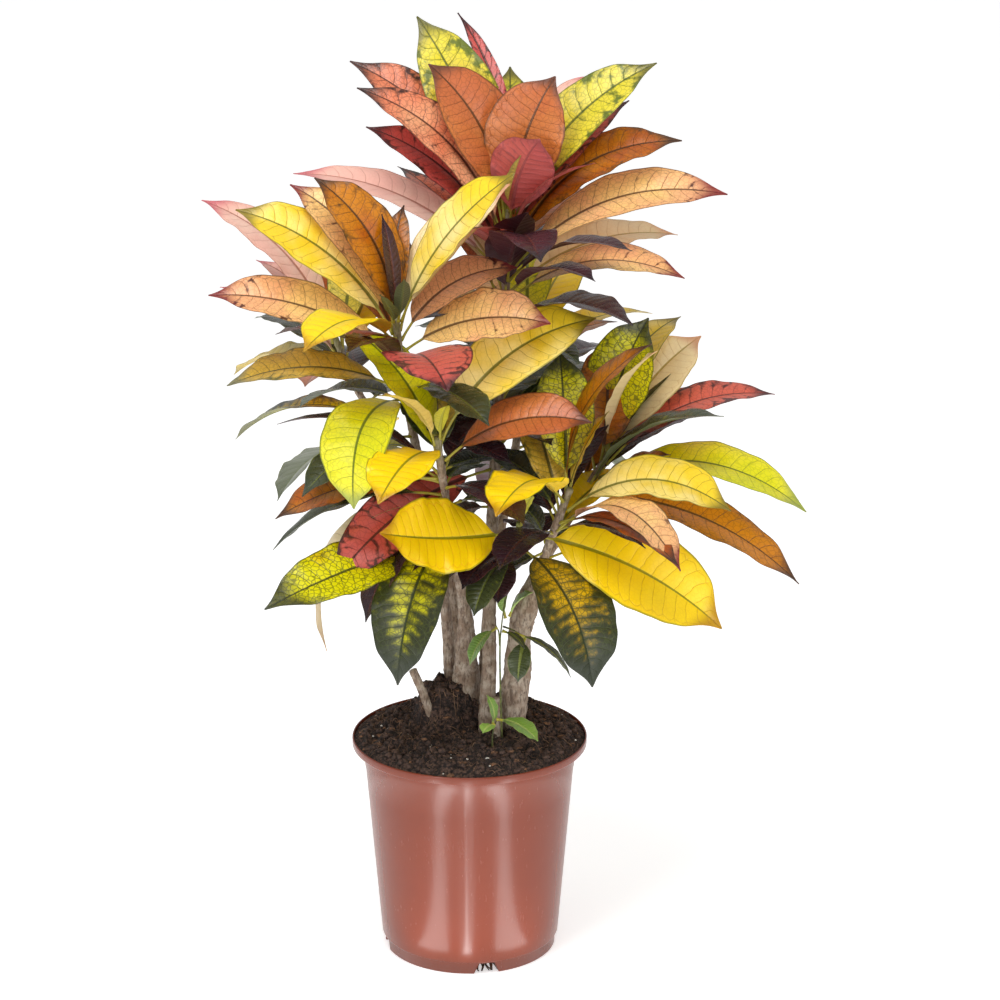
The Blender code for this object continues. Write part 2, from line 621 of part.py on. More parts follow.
def main():
    """Build the pot, the potting mix, the stems and the leaves."""
    clear_scene()
    plant = bpy.data.objects.new("plant", None)
    bpy.context.collection.objects.link(plant)
    build_pot(plant)
    build_soil(plant, build_stems(plant))
    build_leaves(plant)
    centre_plant(plant)


main()
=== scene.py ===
"""Looks of a potted croton: veined and blotched leaves, barked stems, potting mix, a pot.

Units are metres, +Z is up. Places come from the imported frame: a leaf or a stem that stands
for a node is read back from that node's own rings of points, and everything else is placed
from a stem's growing point or from the pot's box.
"""
import json
import logging
import math
from dataclasses import dataclass, field
from enum import Enum

import bpy
import numpy as np
from mathutils import Euler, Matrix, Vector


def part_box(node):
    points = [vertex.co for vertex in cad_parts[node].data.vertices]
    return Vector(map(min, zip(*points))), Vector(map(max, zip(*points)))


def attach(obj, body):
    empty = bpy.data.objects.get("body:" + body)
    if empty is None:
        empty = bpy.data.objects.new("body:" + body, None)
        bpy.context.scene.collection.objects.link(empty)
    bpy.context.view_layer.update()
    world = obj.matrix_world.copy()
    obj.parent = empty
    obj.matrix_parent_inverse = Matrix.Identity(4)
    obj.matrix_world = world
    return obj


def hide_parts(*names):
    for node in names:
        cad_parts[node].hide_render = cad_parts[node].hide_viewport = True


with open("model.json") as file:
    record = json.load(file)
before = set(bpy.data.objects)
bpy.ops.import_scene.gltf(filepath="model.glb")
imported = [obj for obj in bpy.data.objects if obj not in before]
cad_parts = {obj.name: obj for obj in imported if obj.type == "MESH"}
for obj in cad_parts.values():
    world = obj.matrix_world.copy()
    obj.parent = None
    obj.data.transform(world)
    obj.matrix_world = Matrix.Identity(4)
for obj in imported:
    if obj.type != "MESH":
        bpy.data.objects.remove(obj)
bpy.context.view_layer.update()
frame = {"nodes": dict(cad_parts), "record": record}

BODY = "root"
LOG = logging.getLogger("croton")

Colour = tuple[float, float, float]
Point = tuple[float, float, float]


# ---- small tools -------------------------------------------------------------------
def paint(red: int, green: int, blue: int) -> Colour:
    """Turn a display colour, 0 to 255, into the linear colour that a shader takes.

    Args:
        red: Display red.
        green: Display green.
        blue: Display blue.

    Returns:
        The linear colour, each part from 0 to 1.
    """
    shown = np.array([red, green, blue]) / 255.0
    linear = np.where(shown > 0.04045, ((shown + 0.055) / 1.055) ** 2.4, shown / 12.92)
    return tuple(float(part) for part in linear)


def unit(vectors: np.ndarray) -> np.ndarray:
    """Scale each vector along the last axis to length 1."""
    return vectors / np.maximum(np.linalg.norm(vectors, axis=-1, keepdims=True), 1e-12)


def ease(values: np.ndarray, low: float, high: float) -> np.ndarray:
    """Smooth step: 0 below low, 1 above high, and 3x^2 - 2x^3 between them."""
    share = np.clip((np.asarray(values) - low) / (high - low), 0.0, 1.0)
    return share * share * (3.0 - 2.0 * share)


def soft_noise(u: np.ndarray, v: np.ndarray, seed: int, period: int = 64) -> np.ndarray:
    """Noise from -1 to 1 over a plane: random values on a square grid, blended smoothly.

    Args:
        u: First coordinate, in grid cells.
        v: Second coordinate, in grid cells.
        seed: Chooses the random values.
        period: Number of cells after which the noise repeats along the first coordinate.

    Returns:
        The noise at each place.
    """
    table = np.random.default_rng(seed).uniform(-1.0, 1.0, (period, 64))
    u, v = np.broadcast_arrays(u, v)
    i, j = np.floor(u).astype(int), np.floor(v).astype(int)
    s, t = ease(u - i, 0.0, 1.0), ease(v - j, 0.0, 1.0)
    near = table[i % period, j % 64] * (1 - s) + table[(i + 1) % period, j % 64] * s
    far = table[i % period, (j + 1) % 64] * (1 - s) + table[(i + 1) % period, (j + 1) % 64] * s
    return near * (1 - t) + far * t


def smooth_through(known: np.ndarray, values: np.ndarray, wanted: np.ndarray) -> np.ndarray:
    """Read a smooth curve through known values, as cubic pieces with shared slopes.

    Each piece is the Hermite cubic of its end values and slopes, and the slope at a known
    value is that of its two neighbours.

    Args:
        known: Rising parameters of the known values.
        values: The values, one row for each parameter.
        wanted: Parameters to read the curve at.

    Returns:
        One row for each wanted parameter.
    """
    slopes = np.gradient(values, known, axis=0)
    piece = np.clip(np.searchsorted(known, wanted, side="right") - 1, 0, len(known) - 2)
    span = (known[piece + 1] - known[piece])[:, None]
    share = ((wanted - known[piece]) / span[:, 0])[:, None]
    start, end = values[piece], values[piece + 1]
    rise, fall = slopes[piece] * span, slopes[piece + 1] * span
    square, cube = share ** 2, share ** 3
    return (start * (2 * cube - 3 * square + 1) + rise * (cube - 2 * square + share)
            + end * (3 * square - 2 * cube) + fall * (cube - square))


def run_lengths(points: np.ndarray) -> np.ndarray:
    """Distance along a line of points, from 0 at the first one."""
    return np.append(0.0, np.cumsum(np.linalg.norm(np.diff(points, axis=0), axis=1)))


def tube_faces(rings: int, around: int) -> list[tuple[int, ...]]:
    """Faces of a closed tube: quads round its rings, and a fan to one point at each end.

    Args:
        rings: Number of rings.
        around: Points in each ring. The two end points follow the rings' points.

    Returns:
        The corner numbers of each face.
    """
    rows, columns = np.meshgrid(np.arange(rings - 1), np.arange(around), indexing="ij")
    after = (columns + 1) % around
    quads = np.stack([rows * around + columns, rows * around + after,
                      (rows + 1) * around + after, (rows + 1) * around + columns], axis=-1)
    side = np.arange(around)
    turn = (side + 1) % around
    first, last = rings * around, rings * around + 1
    low = np.stack([np.full(around, first), turn, side], axis=-1)
    top = (rings - 1) * around
    high = np.stack([np.full(around, last), top + side, top + turn], axis=-1)
    return quads.reshape(-1, 4).tolist() + low.tolist() + high.tolist()


def tube_points(rings: np.ndarray) -> np.ndarray:
    """Points of a closed tube: its rings, then the middle of its first and last ring."""
    ends = np.stack([rings[0].mean(axis=0), rings[-1].mean(axis=0)])
    return np.vstack([rings.reshape(-1, 3), ends])


def make_piece(name: str, points: np.ndarray, faces: list, material: bpy.types.Material,
               slot: str, stands_for: tuple[str, ...] = ()) -> bpy.types.Object:
    """Put a mesh into the scene as a finished piece of the plant.

    Args:
        name: The piece's name.
        points: Its points, in metres, where they stay.
        faces: Corner numbers of each face, facing outwards.
        material: What it is made of.
        slot: The record's material slot of the piece. Not used.
        stands_for: Names of the nodes that it replaces.

    Returns:
        The new object.
    """
    mesh = bpy.data.meshes.new(name)
    mesh.from_pydata(points.tolist(), [], faces)
    mesh.shade_smooth()
    mesh.materials.append(material)
    piece = bpy.data.objects.new(name, mesh)
    bpy.context.scene.collection.objects.link(piece)
    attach(piece, BODY)
    if stands_for:
        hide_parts(*stands_for)
    LOG.info("%s: %d faces", name, len(faces))
    return piece


def give_attribute(piece: bpy.types.Object, name: str, values: np.ndarray) -> None:
    """Store a vector at each point of a piece, for its material to read."""
    layer = piece.data.attributes.new(name, "FLOAT_VECTOR", "POINT")
    layer.data.foreach_set("vector", np.ascontiguousarray(values, dtype=np.float32).ravel())


# ---- reading the frame -------------------------------------------------------------
@dataclass(frozen=True)
class NodeShape:
    """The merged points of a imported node, and which of them share an edge."""

    points: np.ndarray
    near: list

    @classmethod
    def read(cls, node: str) -> "NodeShape":
        """Merge a node's loose triangles into points and neighbours.

        Args:
            node: The node's name.

        Returns:
            The node's shape.
        """
        mesh = frame["nodes"][node].data
        places = np.empty(len(mesh.vertices) * 3)
        mesh.vertices.foreach_get("co", places)
        keys, names = np.unique(places.reshape(-1, 3).round(5), axis=0, return_inverse=True)
        edges = np.empty(len(mesh.edges) * 2, dtype=int)
        mesh.edges.foreach_get("vertices", edges)
        near = [set() for _ in keys]
        for one, other in names.ravel()[edges.reshape(-1, 2)]:
            if one != other:
                near[one].add(int(other))
                near[other].add(int(one))
        return cls(keys, near)

    def layers(self, start: set) -> list:
        """Rings of points, each one edge further from the starting points."""
        seen, layer, found = set(start), set(start), []
        while layer:
            found.append(sorted(layer))
            layer = {other for one in layer for other in self.near[one]} - seen
            seen |= layer
        return found


def read_stem(node: str, around: int = 8) -> tuple[np.ndarray, np.ndarray]:
    """Read a stem's course and radii back from the rings of its node.

    Args:
        node: The stem's node.
        around: Points in each of its rings.

    Returns:
        The middle of each ring from the foot up, and each ring's radius.
    """
    shape = NodeShape.read(node)
    away = np.linalg.norm(shape.points - shape.points.mean(axis=0), axis=1)
    end = int(np.argmax(away))
    from_end = np.linalg.norm(shape.points - shape.points[end], axis=1)
    rings = shape.layers(set(np.argsort(from_end)[:around].tolist()))
    course = np.array([shape.points[ring].mean(axis=0) for ring in rings])
    radii = np.array([np.linalg.norm(shape.points[ring] - middle, axis=1).mean()
                      for ring, middle in zip(rings, course)])
    if course[0][2] > course[-1][2]:
        course, radii = course[::-1], radii[::-1]
    return course, radii


@dataclass(frozen=True)
class StemPath:
    """A stem's course from the foot to the growing point, closely spaced, with radii."""

    course: np.ndarray
    radii: np.ndarray

    @classmethod
    def of_node(cls, node: str) -> "StemPath":
        """Read a stem from the frame and space its course every 2 mm."""
        return cls.through(*read_stem(node))

    @classmethod
    def through(cls, course: np.ndarray, radii: np.ndarray) -> "StemPath":
        """Run a smooth path through a few points, spaced every 2 mm."""
        runs = run_lengths(course)
        steps = np.linspace(0.0, runs[-1], max(8, int(runs[-1] / 0.002)))
        fine = smooth_through(runs, np.column_stack([course, radii]), steps)
        return cls(fine[:, :3], fine[:, 3])

    def place(self, drop: float) -> tuple[np.ndarray, np.ndarray, float]:
        """Find a place on the stem.

        Args:
            drop: Distance down the stem from its growing point.

        Returns:
            The point on the stem's middle line, the direction up the stem, and the radius.
        """
        left = run_lengths(self.course)[-1] - run_lengths(self.course)
        index = min(int(np.argmin(abs(left - drop))), len(self.course) - 2)
        return (self.course[index], unit(self.course[index + 1] - self.course[index]),
                float(self.radii[index]))


# ---- the shape of a leaf -----------------------------------------------------------
def blade_outline(share: np.ndarray) -> np.ndarray:
    """Half width over half the full width, from 0 at the blade's foot to 1 at its tip.

    The outline is sin(pi s^0.98)^0.72, drawn in over the last fifth to a fine point.
    """
    body = np.sin(math.pi * np.clip(share, 0.0, 1.0) ** 0.98) ** 0.72
    return body * (1.0 - 0.55 * ease(share, 0.80, 0.99))


NODE_FOLD = math.radians(11.0)
NODE_WIDTH_SHARE = 1.08


@dataclass(frozen=True)
class LeafLine:
    """A leaf as its midrib from stalk to tip, the way its blade faces, and its width.

    A node's leaf is folded by NODE_FOLD at its crease, and its widest ring is narrower than
    the blade by NODE_WIDTH_SHARE.
    """

    midrib: np.ndarray
    facing: np.ndarray
    width: float
    stalk: float = 0.14

    @classmethod
    def of_node(cls, node: str) -> "LeafLine":
        """Read a leaf back from its node's rings: edge, crease, edge and keel.

        Args:
            node: The leaf's node.

        Returns:
            The leaf's line.

        Raises:
            ValueError: If the node isn't a chain of such rings.
        """
        shape = NodeShape.read(node)
        for start in range(len(shape.points)):
            layers = shape.layers({start})
            sizes = [len(layer) for layer in layers]
            if sizes[0] == 1 and sizes[-1] == 1 and set(sizes[1:-1]) == {4}:
                break
        else:
            raise ValueError(f"{node} has no row of leaf rings")
        rings = [shape.points[layer] for layer in layers[1:-1]]
        middles, facings, widths = [], [], []
        for ring in rings:
            gaps = np.linalg.norm(ring[:, None] - ring[None], axis=2)
            one, other = np.unravel_index(int(np.argmax(gaps)), gaps.shape)
            edges = (ring[one] + ring[other]) / 2.0
            inner = sorted((corner for corner in range(4) if corner not in (one, other)),
                           key=lambda corner: np.linalg.norm(ring[corner] - edges))
            middles.append(ring[inner[0]])
            facings.append(unit(ring[inner[0]] - ring[inner[1]]))
            widths.append(gaps.max())
        ends = shape.points[layers[0][0]], shape.points[layers[-1][0]]
        midrib = np.vstack([ends[0], middles, ends[1]])
        facing = np.vstack([facings[0], facings, facings[-1]])
        if widths[0] > widths[-1]:
            midrib, facing = midrib[::-1], facing[::-1]
        return cls(midrib, facing, NODE_WIDTH_SHARE * max(widths) / math.cos(NODE_FOLD))

    def spread(self) -> tuple[np.ndarray, np.ndarray, np.ndarray]:
        """Points over the blade, their shares of the leaf's length, and their normals."""
        runs = run_lengths(self.midrib)
        share = np.linspace(0.2, 1.0, 12)
        fine = smooth_through(runs, np.column_stack([self.midrib, self.facing]),
                              share * runs[-1])
        face = unit(fine[:, 3:])
        left = np.cross(face, unit(np.gradient(fine[:, :3], axis=0)))
        half = 0.5 * self.width * blade_outline((share - self.stalk) / (1.0 - self.stalk))
        out = half[:, None] * np.array([-1.0, -0.5, 0.0, 0.5, 1.0])
        points = (fine[:, None, :3] + left[:, None] * out[..., None]
                  + face[:, None] * (0.17 * abs(out))[..., None])
        return points.reshape(-1, 3), np.repeat(share, 5), np.repeat(face, 5, axis=0)


@dataclass
class LeafBend:
    """A leaf that is still being placed, as one curve from its base over a knee to its tip.

    The midrib is (1-s)^2 base + 2s(1-s) knee + s^2 tip. roll turns the blade about the
    straight line from base to tip, in radians.
    """

    base: np.ndarray
    knee: np.ndarray
    tip: np.ndarray
    width: float
    roll: float

    @classmethod
    def grow(cls, path: StemPath, drop: float, tip: Point, bow: float, width: float,
             roll: float) -> "LeafBend":
        """Start a leaf on its stem.

        Args:
            path: The stem that it grows on.
            drop: Distance down the stem from the growing point.
            tip: The tip, measured from the growing point.
            bow: Rise of the midrib over the straight line, as a share of that line.
            width: Width of the blade.
            roll: Turn of the blade about the line, in degrees.

        Returns:
            The leaf.
        """
        spot, along, radius = path.place(drop)
        end = path.course[-1] + np.array(tip)
        out = end - spot
        out = unit(out - np.dot(out, along) * along)
        return cls.between(spot + out * radius * 0.7, end, bow, width, roll)

    @classmethod
    def between(cls, base: np.ndarray, tip: np.ndarray, bow: float, width: float,
                roll: float) -> "LeafBend":
        """Start a leaf between two points, with its knee over their middle."""
        base, tip = np.array(base, dtype=float), np.array(tip, dtype=float)
        line = unit(tip - base)
        up = unit(np.array([0.0, 0.0, 1.0]) - line[2] * line)
        knee = (base + tip) / 2.0 + up * 2.0 * bow * np.linalg.norm(tip - base)
        return cls(base, knee, tip, width, math.radians(roll))

    def nudge(self, share: float, shift: np.ndarray) -> None:
        """Bend the leaf sideways, most at its tip when the touch is near the tip."""
        self.tip = self.tip + shift * share ** 1.5
        self.knee = self.knee + shift * 2.0 * share * (1.0 - share)

    def line(self) -> LeafLine:
        """Lay the leaf out as a line of points with the way its blade faces."""
        share = np.linspace(0.0, 1.0, 12)[:, None]
        midrib = ((1 - share) ** 2 * self.base + 2 * share * (1 - share) * self.knee
                  + share ** 2 * self.tip)
        straight = unit(self.tip - self.base)
        up = unit(np.array([0.0, 0.0, 1.0]) - straight[2] * straight)
        ahead = unit((1 - share) * (self.knee - self.base) + share * (self.tip - self.knee))
        face = up * math.cos(self.roll) + np.cross(straight, up) * math.sin(self.roll)
        facing = unit(face - (ahead @ face)[:, None] * ahead)
        return LeafLine(midrib, facing, self.width)


@dataclass(frozen=True)
class BladeForm:
    """How every leaf blade is cut, bent and thickened."""

    along: int = 60
    half_across: int = 11
    stalk_radius: float = 0.0013
    thickness: float = 0.00045
    keel: float = 0.0010
    crease: float = 0.30
    crown: float = 0.13
    wave: float = 0.0012
    usual_width: float = 0.055

    def build(self, line: LeafLine, seed: int) -> tuple:
        """Work out a leaf's closed surface as rings of points along its midrib.

        Each ring runs from the left edge over the top to the right edge and back below.
        Along the stalk the ring is a circle. Along the blade it is two thin skins: each
        half rises from the crease as crease*|c| - crown*c^2, the edges wave up and down,
        and a keel stands out below the midrib.

        Args:
            line: Where the leaf is.
            seed: Chooses the leaf's waves and twist.

        Returns:
            The points, the faces, the blade coordinates and the metric coordinates.
        """
        dice = np.random.default_rng(seed)
        runs = run_lengths(line.midrib)
        total = float(runs[-1])
        share = np.linspace(0.0, 1.0, self.along) ** 0.97
        fine = smooth_through(runs, np.column_stack([line.midrib, line.facing]), share * total)
        middle = fine[:, :3]
        ahead = unit(np.gradient(middle, axis=0))
        face = unit(fine[:, 3:] - (fine[:, 3:] * ahead).sum(axis=1)[:, None] * ahead)
        left = np.cross(face, ahead)
        twist = (math.radians(dice.uniform(-14.0, 14.0)) * (share - 0.4))[:, None]
        face, left = (face * np.cos(twist) + left * np.sin(twist),
                      left * np.cos(twist) - face * np.sin(twist))
        blade = (share - line.stalk) / (1.0 - line.stalk)
        opened = ease(blade, -0.03, 0.08)
        half = np.maximum(0.5 * line.width * blade_outline(blade), self.stalk_radius * 0.6)
        turn = np.linspace(0.0, 2.0 * math.pi, 4 * self.half_across, endpoint=False)
        across = np.cos(turn) * abs(np.cos(turn)) ** 0.35
        below = np.sin(turn) < -1e-6
        c, b = across[None, :], blade[:, None]
        h = half[:, None]
        phase = dice.uniform(0.0, 2.0 * math.pi, 4)
        count = dice.uniform(2.4, 4.2, 2)
        sway = np.where(c > 0.0, np.sin(2 * math.pi * count[0] * b + phase[0]),
                        np.sin(2 * math.pi * count[1] * b + phase[1]))
        ripple = np.where(c > 0.0, np.sin(2 * math.pi * 2.3 * count[0] * b + phase[2]),
                          np.sin(2 * math.pi * 2.3 * count[1] * b + phase[3]))
        depth = self.wave * dice.uniform(0.5, 1.3) * line.width / self.usual_width
        wave = depth * c ** 2 * (sway + 0.35 * ripple)
        wave = wave * np.sin(math.pi * np.clip(b, 0.0, 1.0)) ** 0.5
        lift = h * (self.crease * abs(c) - self.crown * c ** 2) + wave
        fade = np.clip(1.0 - b, 0.0, 1.0)
        thick = (self.thickness * (1.0 - 0.5 * abs(c) ** 3)
                 + self.keel * fade * np.exp(-(c * h / 0.0013) ** 2))
        height = lift - np.where(below[None, :], thick, 0.0)
        stalk = self.stalk_radius * (1.0 + 0.5 * ease(-share, -0.05, 0.0))[:, None]
        opened = opened[:, None]
        sideways = opened * c * h + (1 - opened) * stalk * np.cos(turn)[None, :]
        height = opened * height + (1 - opened) * (stalk * np.sin(turn)[None, :] - 0.0006)
        rings = (middle[:, None] + left[:, None] * sideways[..., None]
                 + face[:, None] * height[..., None])
        facing_up = np.where(below, -1.0, 1.0)
        blade_map = np.stack([np.broadcast_to(c, sideways.shape),
                              np.broadcast_to(b, sideways.shape),
                              np.broadcast_to(facing_up[None, :], sideways.shape)], axis=-1)
        metric = np.stack([sideways, np.broadcast_to((share * total)[:, None], sideways.shape),
                           np.full(sideways.shape, seed * 0.37)], axis=-1)
        return (tube_points(rings), tube_faces(*sideways.shape), tube_points(blade_map),
                tube_points(metric))


# ---- writing materials -------------------------------------------------------------
class Graph:
    """Writes a node tree with one call for each step of its arithmetic."""

    def __init__(self, tree: bpy.types.NodeTree) -> None:
        """Keep the tree that the nodes go into."""
        self.tree = tree

    def node(self, kind: str, **settings: object) -> bpy.types.Node:
        """Add a node and set its plain properties."""
        made = self.tree.nodes.new(kind)
        for name, value in settings.items():
            setattr(made, name, value)
        return made

    def put(self, socket: bpy.types.NodeSocket, value: object) -> None:
        """Link a socket to another one, or set its own value."""
        if isinstance(value, bpy.types.NodeSocket):
            self.tree.links.new(value, socket)
        elif isinstance(value, tuple) and len(value) == 3 and socket.type == "RGBA":
            socket.default_value = (*value, 1.0)
        else:
            socket.default_value = value

    def math(self, operation: str, *values: object, clamp: bool = False) -> bpy.types.NodeSocket:
        """Add one Math node. Returns its result."""
        made = self.node("ShaderNodeMath", operation=operation, use_clamp=clamp)
        for socket, value in zip(made.inputs, values):
            self.put(socket, value)
        return made.outputs[0]

    def total(self, *values: object) -> bpy.types.NodeSocket:
        """Add several values together."""
        result = values[0]
        for value in values[1:]:
            result = self.math("ADD", result, value)
        return result

    def times(self, *values: object) -> bpy.types.NodeSocket:
        """Multiply several values together."""
        result = values[0]
        for value in values[1:]:
            result = self.math("MULTIPLY", result, value)
        return result

    def rest(self, value: object, clamp: bool = False) -> bpy.types.NodeSocket:
        """Take a value away from 1."""
        return self.math("SUBTRACT", 1.0, value, clamp=clamp)

    def step(self, value: object, low: object, high: object) -> bpy.types.NodeSocket:
        """Smooth step: 0 at low and 1 at high."""
        made = self.node("ShaderNodeMapRange", interpolation_type="SMOOTHSTEP")
        for name, given in (("Value", value), ("From Min", low), ("From Max", high)):
            self.put(made.inputs[name], given)
        return made.outputs["Result"]

    def blend(self, share: object, one: object, two: object) -> bpy.types.NodeSocket:
        """Mix two colours. Returns the second one where share is 1."""
        made = self.node("ShaderNodeMix", data_type="RGBA")
        for index, given in ((0, share), (6, one), (7, two)):
            self.put(made.inputs[index], given)
        return made.outputs[2]

    def noise(self, place: object, scale: float, detail: float = 3.0,
              rough: float = 0.55) -> bpy.types.NodeSocket:
        """Soft noise from 0 to 1 at a place."""
        made = self.node("ShaderNodeTexNoise")
        for name, given in (("Vector", place), ("Scale", scale), ("Detail", detail),
                            ("Roughness", rough)):
            self.put(made.inputs[name], given)
        return made.outputs["Fac"]

    def cells(self, place: object, scale: float,
              feature: str = "DISTANCE_TO_EDGE") -> bpy.types.NodeSocket:
        """Distance in a pattern of cells at a place: to the nearest wall or to the middle."""
        made = self.node("ShaderNodeTexVoronoi", feature=feature)
        self.put(made.inputs["Vector"], place)
        self.put(made.inputs["Scale"], scale)
        return made.outputs["Distance"]

    def stretch(self, place: object, scale: Point,
                move: Point = (0.0, 0.0, 0.0)) -> bpy.types.NodeSocket:
        """Scale and move a place with a Mapping node."""
        made = self.node("ShaderNodeMapping")
        self.put(made.inputs["Vector"], place)
        self.put(made.inputs["Scale"], scale)
        self.put(made.inputs["Location"], move)
        return made.outputs["Vector"]

    def parts(self, vector: object) -> tuple:
        """Split a vector into its three parts."""
        made = self.node("ShaderNodeSeparateXYZ")
        self.put(made.inputs[0], vector)
        return tuple(made.outputs)

    def attribute(self, name: str) -> bpy.types.NodeSocket:
        """Read a vector that the piece carries at its points."""
        return self.node("ShaderNodeAttribute", attribute_name=name).outputs["Vector"]

    def object_place(self) -> bpy.types.NodeSocket:
        """Read the place on the piece, in metres."""
        return self.node("ShaderNodeTexCoord").outputs["Object"]

    def bump(self, height: object, depth: float) -> bpy.types.NodeSocket:
        """Turn a height from 0 to 1 into a bumped normal.

        Args:
            height: The height.
            depth: What a height of 1 stands for, in metres.

        Returns:
            The normal.
        """
        made = self.node("ShaderNodeBump")
        self.put(made.inputs["Height"], height)
        self.put(made.inputs["Distance"], depth)
        return made.outputs["Normal"]

    def finish(self, shader: bpy.types.Node, colour: object, roughness: object,
               normal: object) -> None:
        """Give a Principled shader its colour, roughness and bumped normal."""
        for name, value in (("Base Color", colour), ("Roughness", roughness),
                            ("Normal", normal)):
            self.put(shader.inputs[name], value)

    def group(self, tree: bpy.types.NodeTree, **inputs: object) -> bpy.types.Node:
        """Place a shader node group with its own values. Spaces in names are underscores."""
        made = self.node("ShaderNodeGroup", node_tree=tree)
        for name, value in inputs.items():
            self.put(made.inputs[name.replace("_", " ")], value)
        return made


def new_material(name: str) -> tuple[bpy.types.Material, Graph, bpy.types.Node]:
    """Start a material.

    Args:
        name: The material's name.

    Returns:
        The material, its graph, and its Principled shader.
    """
    material = bpy.data.materials.new(name)
    material.use_nodes = True
    tree = material.node_tree
    return material, Graph(tree), tree.nodes["Principled BSDF"]


def grainy_material(name: str, scale: float, colours: tuple, dull: tuple[float, float],
                    relief: float, rough: float = 0.55) -> bpy.types.Material:
    """Build a material of two colours in soft grains, for small loose pieces.

    Args:
        name: The material's name.
        scale: Grains in a metre.
        colours: The darker and the paler colour.
        dull: Least roughness, and how much rougher the palest grains are.
        relief: Height of the grains, in metres.
        rough: Share of fine detail in the grains.

    Returns:
        The material.
    """
    made, graph, shader = new_material(name)
    tone = graph.noise(graph.object_place(), scale, 3.0, rough)
    colour = graph.blend(graph.step(tone, 0.35, 0.65), *colours)
    graph.finish(shader, colour, graph.total(dull[0], graph.times(tone, dull[1])),
                 graph.bump(tone, relief))
    return made


def new_group(name: str, inputs: dict,
              outputs: dict) -> tuple[Graph, bpy.types.Node, bpy.types.Node]:
    """Start a shader node group.

    Args:
        name: The group's name.
        inputs: Socket type for each input's name.
        outputs: Socket type for each output's name.

    Returns:
        Its graph, its input node and its output node.
    """
    tree = bpy.data.node_groups.new(name, "ShaderNodeTree")
    for direction, sockets in (("INPUT", inputs), ("OUTPUT", outputs)):
        for label, kind in sockets.items():
            tree.interface.new_socket(name=label, in_out=direction, socket_type=kind)
    graph = Graph(tree)
    return graph, graph.node("NodeGroupInput"), graph.node("NodeGroupOutput")


